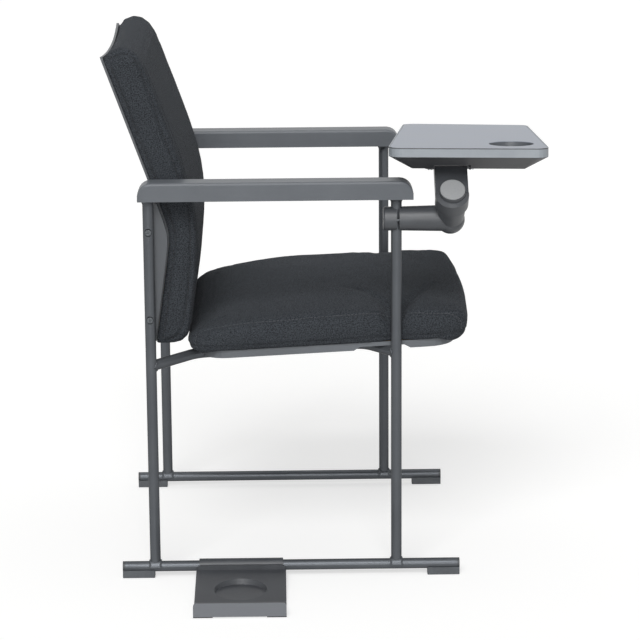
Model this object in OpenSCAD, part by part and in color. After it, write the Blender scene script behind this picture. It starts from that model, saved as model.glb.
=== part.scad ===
// Visitor chair on sled side frames, with padded seat and back, two armrests,
// a writing tablet that folds away beside the right arm, and a drip tray on the right floor rail.
// The sitter faces +X and the right-hand side is -Y. Millimetres.

/* [Frame] */
// Outer diameter of the frame tube
tube_d = 18; // [16:1:20]
// Wall of the frame tube
tube_wall = 1.5; // [1.2:0.1:2]
// Distance between the two side frames, tube axis to tube axis
frame_w = 530; // [515:5:570]
// Floor rail behind the rear post's axis
rail_rear = 56; // [45:1:80]
// Floor rail ahead of the front post's axis
rail_front = 108; // [85:1:140]
// Height of the floor rail's axis
rail_z = 18; // [17:0.5:24]
// Leg of the weld beads
weld_leg = 3; // [2:0.5:5]
// Fillet where a post flares out under the armrest
post_flare = 9; // [5:1:10]

/* [Rail ends] */
// Thickness of the rail's end cap
cap_t = 4; // [2:0.5:6]
// Length of the end cap's plug inside the tube
cap_plug_l = 12; // [8:1:20]
// Length of a foot glide
glide_l = 55; // [40:1:70]
// Width of a foot glide
glide_w = 19; // [16:1:24]
// Height of a foot glide
glide_h = 13; // [12:0.5:15]
// Diameter of the glide's peg in the rail
glide_peg_d = 6; // [4:0.5:8]

/* [Armrests] */
// Length of an armrest
arm_l = 456; // [445:1:500]
// Width of an armrest
arm_w = 44; // [40:1:46]
// Height of an armrest
arm_h = 31; // [26:1:38]
// Height of the armrest's underside above the floor
arm_z = 655; // [640:1:690]
// Armrest behind the rear post's axis
arm_rear = 16.4; // [12:0.2:20]
// Armrest ahead of the front post's axis
arm_front = 27.6; // [24:0.2:34]
// Radius of the armrest's upper end corners
arm_end_r = 22; // [12:1:24]
// Rounding along the armrest's top edges
arm_edge_r = 4; // [2:0.5:6]
// Wall of the armrest moulding
arm_wall = 4; // [3:0.5:5]
// Thickness of the steel bar under the armrest
bar_t = 4; // [3:0.5:6]
// Width of the steel bar under the armrest
bar_w = 32; // [26:1:34]

/* [Seat frame] */
// Diameter of the bowed seat tubes
bow_d = 18; // [14:1:18]
// How far a seat tube bows inward from its posts
bow_in = 75; // [65:1:85]
// Height of the seat tube's axis at the rear post
bow_z = 371; // [350:1:390]
// Bend radius of the seat tubes
bow_bend_r = 40; // [30:1:45]
// Angle of the rear leg of a seat tube, seen from above
bow_rear_angle = 45; // [40:1:55]
// Angle of the front leg of a seat tube, seen from above
bow_front_angle = 55; // [45:1:60]
// Rise of the seat towards the front, in degrees
seat_tilt = 2.8; // [1:0.1:5]
// Diameter of the cross tubes
cross_d = 14; // [12:1:15]

/* [Seat] */
// Length of the seat board
board_l = 398; // [380:1:410]
// Width of the seat board
board_w = 476; // [460:1:484]
// Thickness of the seat board
board_t = 12; // [9:1:15]
// Corner radius of the seat board
board_r = 30; // [20:1:45]
// Seat board's rear edge ahead of the rear post's axis
board_x = 100; // [96:1:106]
// Height of the under-seat pan's skirt
pan_skirt = 13; // [10:0.5:16]
// Wall of the under-seat pan
pan_wall = 2.5; // [2:0.5:3.5]
// Pan's skirt beyond the seat board, all round
pan_margin = 14; // [12:1:16]
// Height of the seat cushion above its hem
cushion_h = 52; // [44:1:65]
// Crown of the seat cushion above its seam
cushion_crown = 10; // [4:1:18]
// Cushion past the seat board at the rear
cushion_rear = 38; // [34:1:38]
// Cushion past the seat board at the front
cushion_front = 36; // [28:1:44]
// Bow of the cushion's front edge
cushion_bow = 12; // [0:1:20]
// Cushion past the seat board at each side
cushion_side = 24; // [20:1:24]

/* [Back] */
// Height of the back shell's top corners above the floor
back_top_z = 889; // [860:1:920]
// Height of the back's lower edge above the floor
back_bottom_z = 402; // [396:1:412]
// Width of the back shell
shell_w = 476; // [460:1:480]
// Thickness of the back shell
shell_t = 4; // [3:0.5:5]
// Backward lean of the upper back, in degrees
back_tilt = 19.9; // [15:0.5:21]
// Backward lean of the back below the lumbar bend, in degrees
back_low_tilt = 8.5; // [6:0.5:10]
// Height of the lumbar bend at the rear
lumbar_z = 592; // [570:1:610]
// Lumbar bend of the shell ahead of the rear post's axis
lumbar_x = 28.7; // [26:0.1:32]
// Thickness of the back board
back_board_t = 9; // [6:1:12]
// Width of the back cushion
back_pad_w = 482; // [470:1:484]
// Distance from the shell's rear face to the cushion's front at the lumbar bend
back_pad_t = 49.5; // [46:0.5:58]
// Cushion's top edge above the shell's top corners
back_pad_rise = 15; // [6:1:18]
// Dip of the shell's top edge in the middle
shell_dip = 10; // [4:1:16]
// Height of the lower back screws
back_screw_low_z = 452; // [440:1:470]
// Height of the upper back screws
back_screw_high_z = 601; // [590:1:622]
// How far the shell's mounting ear runs in over the shell's side
ear_lap = 12.1; // [8:0.1:20]

/* [Tablet arm] */
// Height of the arm's axis above the floor
arm_axis_z = 619.7; // [600:0.1:622]
// Diameter of the arm at the clamp
clamp_d = 40; // [38:0.5:44]
// Length of the clamp cap behind the split
clamp_cap_l = 22; // [21:0.5:30]
// Gap between the clamp's halves
clamp_gap = 4.5; // [2:0.5:6]
// Hinge centre ahead of the front post's axis
hinge_x = 90; // [86:1:110]
// Diameter of the arm where it meets the elbow
elbow_d = 44; // [43:0.5:48]
// Diameter of the elbow's upper end
elbow_top_d = 48; // [47:0.5:53]
// Slope of the tablet down towards the sitter's middle, in degrees
tablet_tilt = 3; // [0:0.5:5]
// Angle between the hinge axis and the tablet's normal
hinge_angle = 45; // [44:0.5:46]

/* [Tablet hinge] */
// Height of the elbow along the hinge axis
elbow_h = 35.5; // [30:0.5:46]
// Thickness of the friction washer
washer_t = 1.3; // [1:0.1:2]
// Thickness of the hub along the hinge axis
hub_t = 31.7; // [26:0.1:38]
// Diameter of the hub
hub_d = 55.4; // [54:0.2:60]
// Width of the bracket above the hub
neck_w = 54; // [46:1:55]
// Diameter of the boss under the cap
boss_d = 43; // [42:0.5:46]
// Height of the boss
boss_h = 7.4; // [6:0.2:12]
// Diameter of the cap
hub_cap_d = 41; // [39:0.5:42]
// Diameter of the hinge pin
pin_d = 12; // [10:0.5:14]
// Running clearance round the hinge pin
pin_fit = 0.05; // [0.02:0.01:0.08]

/* [Tablet] */
// Length of the tablet, front to rear
tablet_l = 262; // [250:1:290]
// Width of the tablet, across the chair
tablet_w = 393; // [360:1:410]
// Height of the tablet's underside above the hinge centre
tablet_base_h = 87; // [82:0.5:92]
// Height of the tablet's upright edge band
band_h = 15.5; // [12:0.5:20]
// Depth of the bevel below the band
bevel_h = 22.3; // [18:0.1:30]
// Width of the bevel, seen from below
bevel_w = 36; // [28:1:44]
// Wall of the tablet's lower moulding
tablet_wall = 3; // [2.5:0.5:4]
// Thickness of the tablet's top panel
panel_t = 3; // [2:0.5:4]
// Diameter of the cup recess
cup_d = 74; // [66:1:80]
// Depth of the cup recess
cup_depth = 12; // [8:1:16]

/* [Drip tray] */
// Width of the tray along the rail
tray_w = 153; // [130:1:170]
// Tray's rear edge ahead of the rear post's axis
tray_x = 70; // [60:1:100]
// Reach of the tray outward from the rail's axis
tray_reach = 214; // [200:1:230]
// Height of the tray's outer lip
lip_h = 24.4; // [20:0.2:28]
// Thickness of the tray's lip
lip_t = 5; // [4:0.5:7]
// Thickness of the tray's plate
tray_t = 3; // [2.5:0.5:4]
// Diameter of the round recess at its rim
dish_d = 93; // [80:1:100]
// Running clearance between the tray's hook and the rail
hook_gap = 0.3; // [0.2:0.05:0.6]

/* [Hidden] */

// Facets on round surfaces
$fn = 64;
// Overrun of every cut
cut = 1;
// Clearance of a part pushed into its hole
push_fit = 0.02;
// Clearance of a screw in its hole
screw_fit = 0.1;
// Steps along a rounded corner of an outline
corner_steps = 6;

// Frame
tube_r = tube_d / 2;
bore_r = tube_r - tube_wall;
side_y = frame_w / 2;
rail_start = -rail_rear;
post_spacing = arm_l - arm_rear - arm_front;
rail_end = post_spacing + rail_front;
glide_chamfer = 2;
glide_peg_l = 6;

// Armrests
arm_top_z = arm_z + arm_h;
arm_x = -arm_rear;
bar_end = 6;
bar_l = arm_l - 2 * bar_end;
// The armrest's screws stand this far in from the bar's ends
arm_screw_in = 60;
arm_screw_d = 5;
arm_screw_l = 18;
arm_boss_d = 12;
arm_sharp_r = 0.6;
pan_head_h = 3;

// Seat frame, in the plane of the seat tubes: x runs forward, z up from the tubes' axes
bow_r = bow_d / 2;
bow_y = side_y - bow_in;
bow_l = post_spacing / cos(seat_tilt);
bow_rear_x = bow_in / tan(bow_rear_angle);
bow_front_x = bow_l - bow_in / tan(bow_front_angle);
// How much fuller the tube is in a bend
bend_swell = 0.05;
// What is trimmed off the two sharp tips of a cope, where a tube meets a post of its own size
cope_tip = 0.8;
cross_in = 32;
cross_xs = [bow_rear_x + cross_in, bow_front_x - cross_in];
tab_l = 40;
tab_w = 34;
tab_t = 3;
tab_in = 72;
tab_xs = [bow_rear_x + tab_in, bow_front_x - tab_in];
tab_screw_y = bow_y - tab_w * 2 / 3;
seat_screw_d = 5;
screw_head_d = 9;

// Seat
pan_floor_z = bow_r;
seat_board_z = pan_floor_z + pan_wall;
pan_rim = 4.5;
pan_top_z = seat_board_z + pan_rim;
pan_bottom_z = pan_top_z - pan_skirt;
notch_space = 8;
notch_w = bow_d + 2 * notch_space;
side_notch_l = 75;
side_notch_slope = 12;
side_notch_in = 60;
side_notch_x = post_spacing - side_notch_in;
cushion_x0 = board_x - cushion_rear;
cushion_x1 = board_x + board_l + cushion_front;
cushion_y = board_w / 2 + cushion_side;
post_gap = 0.6;
pinch_l = 24;
// Rings of the seat cushion from its hem to its crown: height as a share of the cushion's height,
// and what the ring draws in at the rear, the front and the sides as shares of the roll
cushion_ring_shares = [
    [0, 0.34, 0.32, 0.24], [0.10, 0.14, 0.14, 0.10], [0.25, 0.02, 0.03, 0.02], [0.50, 0, 0, 0],
    [0.75, 0.08, 0.06, 0.04], [0.92, 0.36, 0.22, 0.12], [1, 0.62, 0.42, 0.22]];
cushion_roll = 40;
// Rings of a cushion's top: how far each has come from the seam to the centre
crown_shares = [0.07, 0.16, 0.30, 0.50, 0.75];
// Points along a seat ring's sides: front to rear, and across
seat_ring_counts = [14, 10];
seat_corner_rs = [50, 46, 46, 50];
// The top falls towards the back from here, by this much at the cushion's rear edge
seat_fall_x = 230;
seat_fall = 18;

// Back
back_up_slope = tan(back_tilt);
back_low_slope = tan(back_low_tilt);
lumbar_soft = 15;
pad_bend_rise = 27;
pad_front_z = lumbar_z + pad_bend_rise;
pad_front_soft = 96;
pad_up_slope = tan(back_tilt + 2.1);
pad_low_slope = tan(back_low_tilt + 1.1);
pad_front_x = lumbar_x + back_pad_t;
curve_steps = 28;
shell_corner_r = 5;
shell_foot_r = 26;
board_margin = 16;
ear_rear = tube_r;
ear_bottom_z = 413;
ear_top_z = arm_z - post_flare;
ear_fit = 0.1;
ear_w = side_y - tube_r - ear_fit - shell_w / 2 + ear_lap;
ear_r = 8;
back_screw_d = 6;
back_head_d = 10.4;
back_head_h = 3;
dimple_d = 15;
dimple_depth = 3.4;
plug_l = 22;
insert_d = 9;
insert_l = 12;
back_pad_bottom_z = back_bottom_z - 2;
back_pad_top_z = back_top_z + back_pad_rise;
// The cushion's form runs this far through the shell before it is cut to the shell's curve
pad_overcut = 30;
// Rings of the back cushion from its rear edge to its front: depth as a share of the cushion's
// thickness, and what the ring draws in at the sides, the top and the bottom as shares of the roll
back_ring_shares = [
    [0, 0.14, 0.80, 0.10], [0.06, 0.03, 0.66, 0.06], [0.22, 0, 0.24, 0.04], [0.54, 0, 0, 0.06],
    [0.76, 0.05, 0.10, 0.20], [0.91, 0.22, 0.50, 0.56], [0.97, 0.50, 1.00, 1.00]];
back_roll = 24;
// Points along a back ring's sides: across, and from foot to top
back_ring_counts = [6, 16];
back_corner_rs = [20, 20, 24, 24];

// Tablet arm
// The clamp's split lies this far ahead of the front post's axis
split_ahead = 2.4;
arm_start = post_spacing + split_ahead + clamp_gap / 2;
cap_end = post_spacing + split_ahead - clamp_gap / 2;
hinge_from_rear = post_spacing + hinge_x;
cap_round = 3.5;
clamp_screw_d = 5;
clamp_head_d = 8.5;
clamp_head_h = 5;
clamp_screw_y = (tube_r + clamp_d / 2) / 2;
clamp_head_sunk = 1;
clamp_screw_l = 45;
elbow_swell = 4;
elbow_drop = 4;
elbow_ball_d = elbow_d + elbow_swell;
pin_start = 10;
run_gap = 0.2;
washer_in = 1;
hub_z = elbow_h + washer_t + run_gap;
hub_face_z = hub_z + hub_t;
hub_chamfer = 3;
hub_bevel = 5;
boss_top_z = hub_face_z + boss_h;
neck_back = 1;
neck_t = hub_t - hub_chamfer - neck_back;
neck_bevel = 2;
nut_cavity_d = 33;
spring_t = 3.6;
spring_d = 26;
spring_cone = 4;
nut_af = 19;
nut_h = 6.5;
nut_room = 1;
cap_disc_h = 2.2;
cap_spigot_h = 3;
cap_chamfer = 1;
nut_cavity_z = boss_top_z - cap_spigot_h - nut_room - nut_h - spring_t - run_gap;

// Tablet
flange_t = 5;
flange_x0 = -42;
flange_x1 = 40;
flange_y0 = -4;
flange_y1 = 92;
flange_r = 12;
flange_inset = 9;
tablet_screw_d = 4;
tablet_screw_l = 16;
tablet_head_d = 8;
tablet_boss_d = 10;
band_z = tablet_base_h + bevel_h;
tablet_top_z = band_z + band_h;
// Corners of the tablet from the hinge centre: shares of its length and width
tablet_corner_shares = [[-0.407, -0.155], [0.593, -0.233], [0.577, 0.682], [-0.242, 0.788]];
tablet_corner_rs = [24, 20, 18, 18];
pocket_gap = 3;
pocket_out = 60;
pocket_in = 6;
pocket_h = 7;
panel_inset = 2;
panel_seam = 0.5;
cup_x = 99;
cup_y = -17;
cup_wall = 2;
cup_taper = 2;
cup_floor_d = cup_d - 2 * cup_taper;

// Drip tray
tray_mid_x = tray_x + tray_w / 2;
hook_in_r = tube_r + hook_gap;
hook_t = 2.8;
hook_out_r = hook_in_r + hook_t;
hook_in = 5;
hook_w = tray_w - 2 * hook_in;
ridge_t = 4;
ridge_in = 2;
ridge_w = tray_w - 2 * ridge_in;
ridge_top_z = 23;
plate_start_z = 15.2;
plate_end_z = 4;
tray_out_y = -side_y - tray_reach;
ridge_y = -side_y - hook_out_r - ridge_t;
// The plate slopes down to here and is level from here to the lip
plate_level_l = 66;
plate_level_y = tray_out_y + plate_level_l;
tray_foot_h = 1.5;
tray_foot_l = 32;
tray_foot_w = 14;
dish_floor_z = 3;
dish_wall = dish_floor_z - tray_foot_h;
dish_slope_w = 4.5;
dish_floor_d = dish_d - 2 * dish_slope_w;
dish_reach = 99;
dish_y = -side_y - dish_reach;
tray_rib_t = 3;
lip_corner_r = 6;

// Whole chair: the middle of its outer box stands over the origin
box_x0 = min(back_curve(back_top_z), -rail_rear);
box_x1 = hinge_from_rear + tablet_l * tablet_corner_shares[1].x;
box_y0 = tray_out_y;
box_y1 = side_y + arm_w / 2;
origin_x = (box_x0 + box_x1) / 2;
origin_y = (box_y0 + box_y1) / 2;

frame_grey = "#4a4b4f";
plastic_grey = "#5f6369";
arm_grey = "#6d7378";
charcoal = "#3a3b3e";
steel = "#b4b7ba";
pale_grey = "#9b9d9f";
board_tan = "#b99a6b";
tablet_grey = "#8f959b";
rubber_black = "#2c2c2e";

// The back's side view as a curve: slopes above and below a soft bend
function bend_x(z, x0, z0, up, low, soft) =
    x0 - (up - low) / 2 * (z - z0) - (up + low) / 2 * (sqrt(pow(z - z0, 2) + pow(soft, 2)) - soft);
// Rear face of the back shell
function back_curve(z) = bend_x(z, lumbar_x, lumbar_z, back_up_slope, back_low_slope, lumbar_soft);
// Front face of the back cushion
function pad_curve(z) =
    bend_x(z, pad_front_x, pad_front_z, pad_up_slope, pad_low_slope, pad_front_soft);

shell_heights = [for (i = [0:curve_steps])
    back_bottom_z + (back_top_z - back_bottom_z) * i / curve_steps];

half_turn = 180;
function unit(v) = v / norm(v);
// Points of an arc of the given radius that rounds the corner q between p and r
function corner_arc(p, q, r, radius) =
    let (a = unit(p - q), b = unit(r - q), half = acos(a * b) / 2,
         centre = q + unit(a + b) * radius / sin(half),
         start = q + a * radius / tan(half) - centre, stop = q + b * radius / tan(half) - centre,
         from = atan2(start.y, start.x),
         turn = (atan2(stop.y, stop.x) - from + 3 * half_turn) % (2 * half_turn) - half_turn)
    [for (i = [0:corner_steps])
        let (angle = from + turn * i / corner_steps)
        centre + radius * [cos(angle), sin(angle)]];
// An outline with each corner rounded to its own radius
function rounded(points, radii) =
    let (n = len(points))
    [for (i = [0:n - 1])
        each corner_arc(points[(i + n - 1) % n], points[i], points[(i + 1) % n], radii[i])];
function rectangle(x0, y0, x1, y1) = [[x0, y0], [x1, y0], [x1, y1], [x0, y1]];
function same(value, n) = [for (i = [1:n]) value];
function clamped(value) = min(max(value, 0), 1);
// A rounded rectangle with extra points along its sides: the first count is for the sides along
// the first axis, the second for the others
function soft_outline(x0, y0, x1, y1, radii, counts) =
    let (q = rectangle(x0, y0, x1, y1),
         arcs = [for (i = [0:3]) corner_arc(q[(i + 3) % 4], q[i], q[(i + 1) % 4], radii[i])])
    [for (i = [0:3])
        let (a = arcs[i][corner_steps], b = arcs[(i + 1) % 4][0], n = counts[i % 2])
        each concat(arcs[i], [for (k = [1:n]) a + (b - a) * k / (n + 1)])];

// Faces of a stack of rings of n points that ends in one centre point
function ring_faces(rings, n) = concat(
    [for (k = [0:rings - 2], i = [0:n - 1])
        let (j = (i + 1) % n, a = k * n + i, b = k * n + j) each [[a, b + n, b], [a, a + n, b + n]]],
    [for (i = [0:n - 1]) [(rings - 1) * n + i, rings * n, (rings - 1) * n + (i + 1) % n]],
    [for (i = [0:n - 1]) [i, (i + 1) % n, rings * n + 1]]);

// Moves a piece from the rear posts' axis to the origin under the chair's middle
module placed() {
    translate([-origin_x, -origin_y, 0]) children();
}

// The plane of the seat tubes
module seat_plane() {
    placed() translate([0, 0, bow_z]) rotate([0, -seat_tilt, 0]) children();
}

// The hinge centre with the tablet's slope: z is the tablet's normal
module at_hinge() {
    placed() translate([hinge_from_rear, -side_y, arm_axis_z]) rotate([-tablet_tilt, 0, 0]) children();
}

// Along the hinge axis
module along_axis() {
    rotate([hinge_angle, 0, 0]) children();
}

module both_sides() {
    children();
    mirror([0, 1, 0]) children();
}

module x_cylinder(r, x0, x1) {
    translate([x0, 0, 0]) rotate([0, 90, 0]) cylinder(r = r, h = x1 - x0);
}

// Cylinder along Y from y0 to y1
module y_cylinder(r, y0, y1) {
    translate([0, y1, 0]) rotate([90, 0, 0]) cylinder(r = r, h = y1 - y0);
}

// Floor rail with a hole for each glide's peg
module rail(side) {
    placed() translate([0, side * side_y, rail_z]) difference() {
        x_cylinder(tube_r, rail_start + cap_t, rail_end - cap_t);
        x_cylinder(bore_r, rail_start, rail_end);
        for (x = [rail_start + glide_l / 2, rail_end - glide_l / 2])
            translate([x, 0, -tube_r - cut]) cylinder(d = glide_peg_d, h = tube_wall + 2 * cut);
    }
}

module rail_right() {
    color(frame_grey) rail(-1);
}

module rail_left() {
    color(frame_grey) rail(1);
}

// One end cap: a disc outside the tube and a plug inside it
module end_cap() {
    x_cylinder(tube_r, 0, cap_t);
    x_cylinder(bore_r - push_fit, cap_t - push_fit, cap_t + cap_plug_l);
}

module rail_end_caps() {
    color(rubber_black) placed() for (side = [-1, 1]) translate([0, side * side_y, rail_z]) {
        translate([rail_start, 0, 0]) end_cap();
        translate([rail_end, 0, 0]) mirror([1, 0, 0]) end_cap();
    }
}

// One foot glide: a saddle under the rail with a peg up into it
module foot_glide() {
    difference() {
        linear_extrude(glide_h) polygon(rounded(
            rectangle(0, -glide_w / 2, glide_l, glide_w / 2), same(glide_chamfer, 4)));
        translate([0, 0, rail_z]) x_cylinder(tube_r, -cut, glide_l + cut);
    }
    translate([glide_l / 2, 0, rail_z - tube_r - cut])
        cylinder(d = glide_peg_d - 2 * push_fit, h = cut + glide_peg_l);
}

module foot_glides() {
    color(rubber_black) placed() for (side = [-1, 1]) translate([0, side * side_y, 0]) {
        translate([rail_start, 0, 0]) foot_glide();
        translate([rail_end, 0, 0]) mirror([1, 0, 0]) foot_glide();
    }
}

// Upright post coped onto its rail, with a weld bead at the foot and a flare under the armrest.
// Its bore is filled by a plug at each of the given heights
module post(plugs) {
    difference() {
        union() {
            translate([0, 0, rail_z]) cylinder(r = tube_r, h = arm_z - rail_z);
            intersection() {
                translate([0, 0, rail_z]) cylinder(r1 = tube_r + 2 * weld_leg, r2 = tube_r,
                    h = tube_r + 2 * weld_leg);
                translate([0, 0, rail_z]) x_cylinder(tube_r + weld_leg, -2 * tube_r - weld_leg,
                    2 * tube_r + weld_leg);
            }
            rotate_extrude() difference() {
                translate([0, arm_z - post_flare]) square([tube_r + post_flare, post_flare]);
                translate([tube_r + post_flare, arm_z - post_flare]) circle(r = post_flare);
            }
        }
        for (i = [0:len(plugs)]) {
            z0 = i == 0 ? rail_z : plugs[i - 1] + plug_l / 2;
            z1 = i == len(plugs) ? arm_z - tube_wall : plugs[i] - plug_l / 2;
            translate([0, 0, z0]) cylinder(r = bore_r, h = z1 - z0);
        }
        translate([0, 0, rail_z]) x_cylinder(tube_r, -side_y, side_y);
    }
}

module front_post(side) {
    placed() translate([post_spacing, side * side_y, 0]) post([]);
}

// Rear post with a plug and a dimple for each back screw; its outer side is -Y
module rear_post_body() {
    difference() {
        post([back_screw_low_z, back_screw_high_z]);
        for (z = [back_screw_low_z, back_screw_high_z]) translate([0, 0, z]) {
            y_cylinder(back_screw_d / 2 + screw_fit, -tube_d, tube_d);
            translate([0, -tube_r - cut, 0]) rotate([-90, 0, 0])
                cylinder(r1 = dimple_d / 2, r2 = back_head_d / 2 + screw_fit, h = dimple_depth + cut);
        }
    }
}

module rear_post_right() {
    color(frame_grey) placed() translate([0, -side_y, 0]) rear_post_body();
}

module rear_post_left() {
    color(frame_grey) placed() translate([0, side_y, 0]) mirror([0, 1, 0]) rear_post_body();
}

module front_post_right() {
    color(frame_grey) front_post(-1);
}

module front_post_left() {
    color(frame_grey) front_post(1);
}

// A leg of the seat tube from the point p at the given heading
module leg(p, heading, r, l) {
    translate([p.x, p.y, 0]) rotate([0, 0, heading]) x_cylinder(r, cope_tip, l);
}

// A bend of the seat tube about the centre c, from one angle to another
module bend(c, r, from, turn) {
    translate([c.x, c.y, 0]) rotate([0, 0, from])
        rotate_extrude(angle = turn) translate([bow_bend_r, 0]) circle(r = r);
}

// Course of the right seat tube: out of the rear post, bowed inward, and back to the front post.
// The straight lengths run a little into the bends, which differ from them by a swell
module bow_course(r, swell) {
    rear_leg_l = bow_in / sin(bow_rear_angle) - bow_bend_r * tan(bow_rear_angle / 2);
    front_leg_l = bow_in / sin(bow_front_angle) - bow_bend_r * tan(bow_front_angle / 2);
    straight_x0 = bow_rear_x + bow_bend_r * tan(bow_rear_angle / 2);
    straight_x1 = bow_front_x - bow_bend_r * tan(bow_front_angle / 2);
    leg([0, -side_y], bow_rear_angle, r, rear_leg_l + cut);
    bend([straight_x0, -bow_y - bow_bend_r], r + swell, 90, bow_rear_angle);
    translate([0, -bow_y, 0]) x_cylinder(r, straight_x0 - cut, straight_x1 + cut);
    bend([straight_x1, -bow_y - bow_bend_r], r + swell, 90 - bow_front_angle, bow_front_angle);
    leg([bow_l, -side_y], 180 - bow_front_angle, r, front_leg_l + cut);
}

// Right seat tube, coped onto its two posts
module seat_tube_body() {
    difference() {
        bow_course(bow_r, bend_swell);
        bow_course(bow_r - tube_wall, -bend_swell);
        for (x = [0, bow_l]) translate([x, -side_y, 0]) rotate([0, seat_tilt, 0])
            translate([0, 0, -2 * tube_d]) cylinder(r = tube_r, h = 4 * tube_d);
    }
}

module seat_tube_right() {
    color(frame_grey) seat_plane() seat_tube_body();
}

module seat_tube_left() {
    color(frame_grey) seat_plane() mirror([0, 1, 0]) seat_tube_body();
}

// Two tubes between the seat tubes, coped onto them
module seat_cross_tubes() {
    color(frame_grey) seat_plane() for (x = cross_xs) difference() {
        translate([x, 0, 0]) y_cylinder(cross_d / 2, -bow_y, bow_y);
        translate([x, 0, 0]) y_cylinder(cross_d / 2 - tube_wall, -bow_y, bow_y);
        for (side = [-1, 1]) translate([0, side * bow_y, 0]) x_cylinder(bow_r, 0, bow_l);
    }
}

// Four tabs welded inside the seat tubes, level with their tops
module seat_tabs() {
    color(frame_grey) seat_plane() both_sides() for (x = tab_xs) difference() {
        translate([x - tab_l / 2, -bow_y, bow_r - tab_t]) cube([tab_l, tab_w, tab_t]);
        translate([0, -bow_y, 0]) x_cylinder(bow_r, 0, bow_l);
        translate([x, -tab_screw_y, 0]) cylinder(d = seat_screw_d + 2 * screw_fit, h = 2 * bow_r);
    }
}

// A pan-head screw standing on its head: the head's seat is at z = 0
module screw(d, l, head_d, head_h) {
    difference() {
        translate([0, 0, -head_h]) cylinder(d = head_d, h = head_h);
        translate([0, 0, -head_h - cut]) cylinder(d = d * 2 / 3, h = cut + head_h * 2 / 3, $fn = 6);
    }
    cylinder(d = d, h = l);
}

module seat_screws() {
    color(steel) seat_plane() both_sides() for (x = tab_xs)
        translate([x, -tab_screw_y, bow_r - tab_t])
            screw(seat_screw_d, tab_t + pan_wall + board_t * 2 / 3, screw_head_d, pan_head_h);
}

function board_outline(margin) = rounded(
    rectangle(board_x - margin, -board_w / 2 - margin,
        board_x + board_l + margin, board_w / 2 + margin),
    same(board_r + margin, 4));

// Plastic pan under the seat: a floor on the tubes and a skirt round it, open for the tubes
module seat_pan() {
    color(plastic_grey) seat_plane() difference() {
        translate([0, 0, pan_bottom_z]) linear_extrude(pan_skirt) polygon(board_outline(pan_margin));
        for (z = [[pan_bottom_z - cut, pan_floor_z], [seat_board_z, pan_top_z + cut]])
            translate([0, 0, z[0]]) linear_extrude(z[1] - z[0])
                polygon(board_outline(pan_margin - pan_wall));
        both_sides() {
            translate([board_x - pan_margin - cut, -bow_y - notch_w / 2, pan_bottom_z - cut])
                cube([pan_margin, notch_w, pan_floor_z - pan_bottom_z + cut]);
            translate([side_notch_x, -board_w / 2, 0]) rotate([90, 0, 0]) linear_extrude(2 * pan_margin)
                polygon([[-side_notch_slope, pan_bottom_z - cut], [0, pan_floor_z],
                    [side_notch_l, pan_floor_z], [side_notch_l + side_notch_slope, pan_bottom_z - cut]]);
            for (x = tab_xs) translate([x, -tab_screw_y, 0])
                cylinder(d = seat_screw_d + 2 * screw_fit, h = 2 * bow_d);
        }
    }
}

module board_solid() {
    translate([0, 0, seat_board_z]) linear_extrude(board_t) polygon(board_outline(0));
}

module seat_board() {
    color(board_tan) seat_plane() difference() {
        board_solid();
        both_sides() for (x = tab_xs) translate([x, -tab_screw_y, 0])
            cylinder(d = seat_screw_d + 2 * push_fit, h = seat_board_z + board_t * 2 / 3 + push_fit);
    }
}

// How far the cushion is pinched in beside the front post
function pinch(x) =
    max(0, cushion_y - (side_y - tube_r - post_gap)) * exp(-pow((x - bow_l) / pinch_l, 2));
// How far the cushion's top falls towards its rear edge
function fall(x) = seat_fall * pow(clamped((seat_fall_x - x) / (seat_fall_x - cushion_x0)), 2);
// One ring of the seat cushion, as points in the plane of the tubes
function seat_ring(height, rear, front, side) =
    let (x0 = cushion_x0 + rear, x1 = cushion_x1 - front, y1 = cushion_y - side,
         radii = [for (r = seat_corner_rs) r - (front + side) / 3])
    [for (p = soft_outline(x0, -y1, x1, y1, radii, seat_ring_counts))
        [p.x + cushion_bow * clamped(2 * (p.x - x0) / (x1 - x0) - 1) * (1 - pow(p.y / y1, 2)),
            p.y - sign(p.y) * pinch(p.x) * pow(p.y / y1, 2),
            pan_top_z + height * cushion_h - height * fall(p.x)]];

// Seat cushion: boxed sides, a rolled front, a crowned top, pinched in beside the front posts
module seat_cushion() {
    mid = [(cushion_x0 + cushion_x1) / 2, 0];
    side_rings = [for (ring = cushion_ring_shares)
        seat_ring(ring[0], ring[1] * cushion_roll, ring[2] * cushion_roll, ring[3] * cushion_roll)];
    seam = side_rings[len(side_rings) - 1];
    crown_rings = [for (share = crown_shares) [for (p = seam)
        let (q = mid + (1 - share) * ([p.x, p.y] - mid))
        [q.x, q.y, pan_top_z + cushion_h - fall(q.x)
            + cushion_crown * (1 - pow(1 - share, 2.5))]]];
    rings = concat(side_rings, crown_rings);
    color(charcoal) seat_plane() difference() {
        polyhedron(concat([for (ring = rings) each ring],
            [[mid.x, mid.y, pan_top_z + cushion_h + cushion_crown], [mid.x, mid.y, pan_top_z]]),
            ring_faces(len(rings), len(seam)));
        board_solid();
    }
}

// Steel bar across the tops of two posts, let into the armrest's underside
module arm_bar(side) {
    placed() translate([arm_x + bar_end, side * side_y, arm_z]) difference() {
        linear_extrude(bar_t) polygon(rounded(
            rectangle(0, -bar_w / 2, bar_l, bar_w / 2), same(bar_end, 4)));
        for (x = [arm_screw_in, bar_l - arm_screw_in]) translate([x, 0, -cut])
            cylinder(d = arm_screw_d + 2 * screw_fit, h = bar_t + 2 * cut);
    }
}

module arm_bar_right() {
    color(frame_grey) arm_bar(-1);
}

module arm_bar_left() {
    color(frame_grey) arm_bar(1);
}

// The armrest's side view, drawn in by an inset
function arm_outline(inset) = rounded(
    [[inset, 0], [arm_l - inset, 0], [arm_l - inset, arm_h - inset], [inset, arm_h - inset]],
    [arm_sharp_r, arm_sharp_r, arm_end_r - inset, arm_end_r - inset]);

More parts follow.
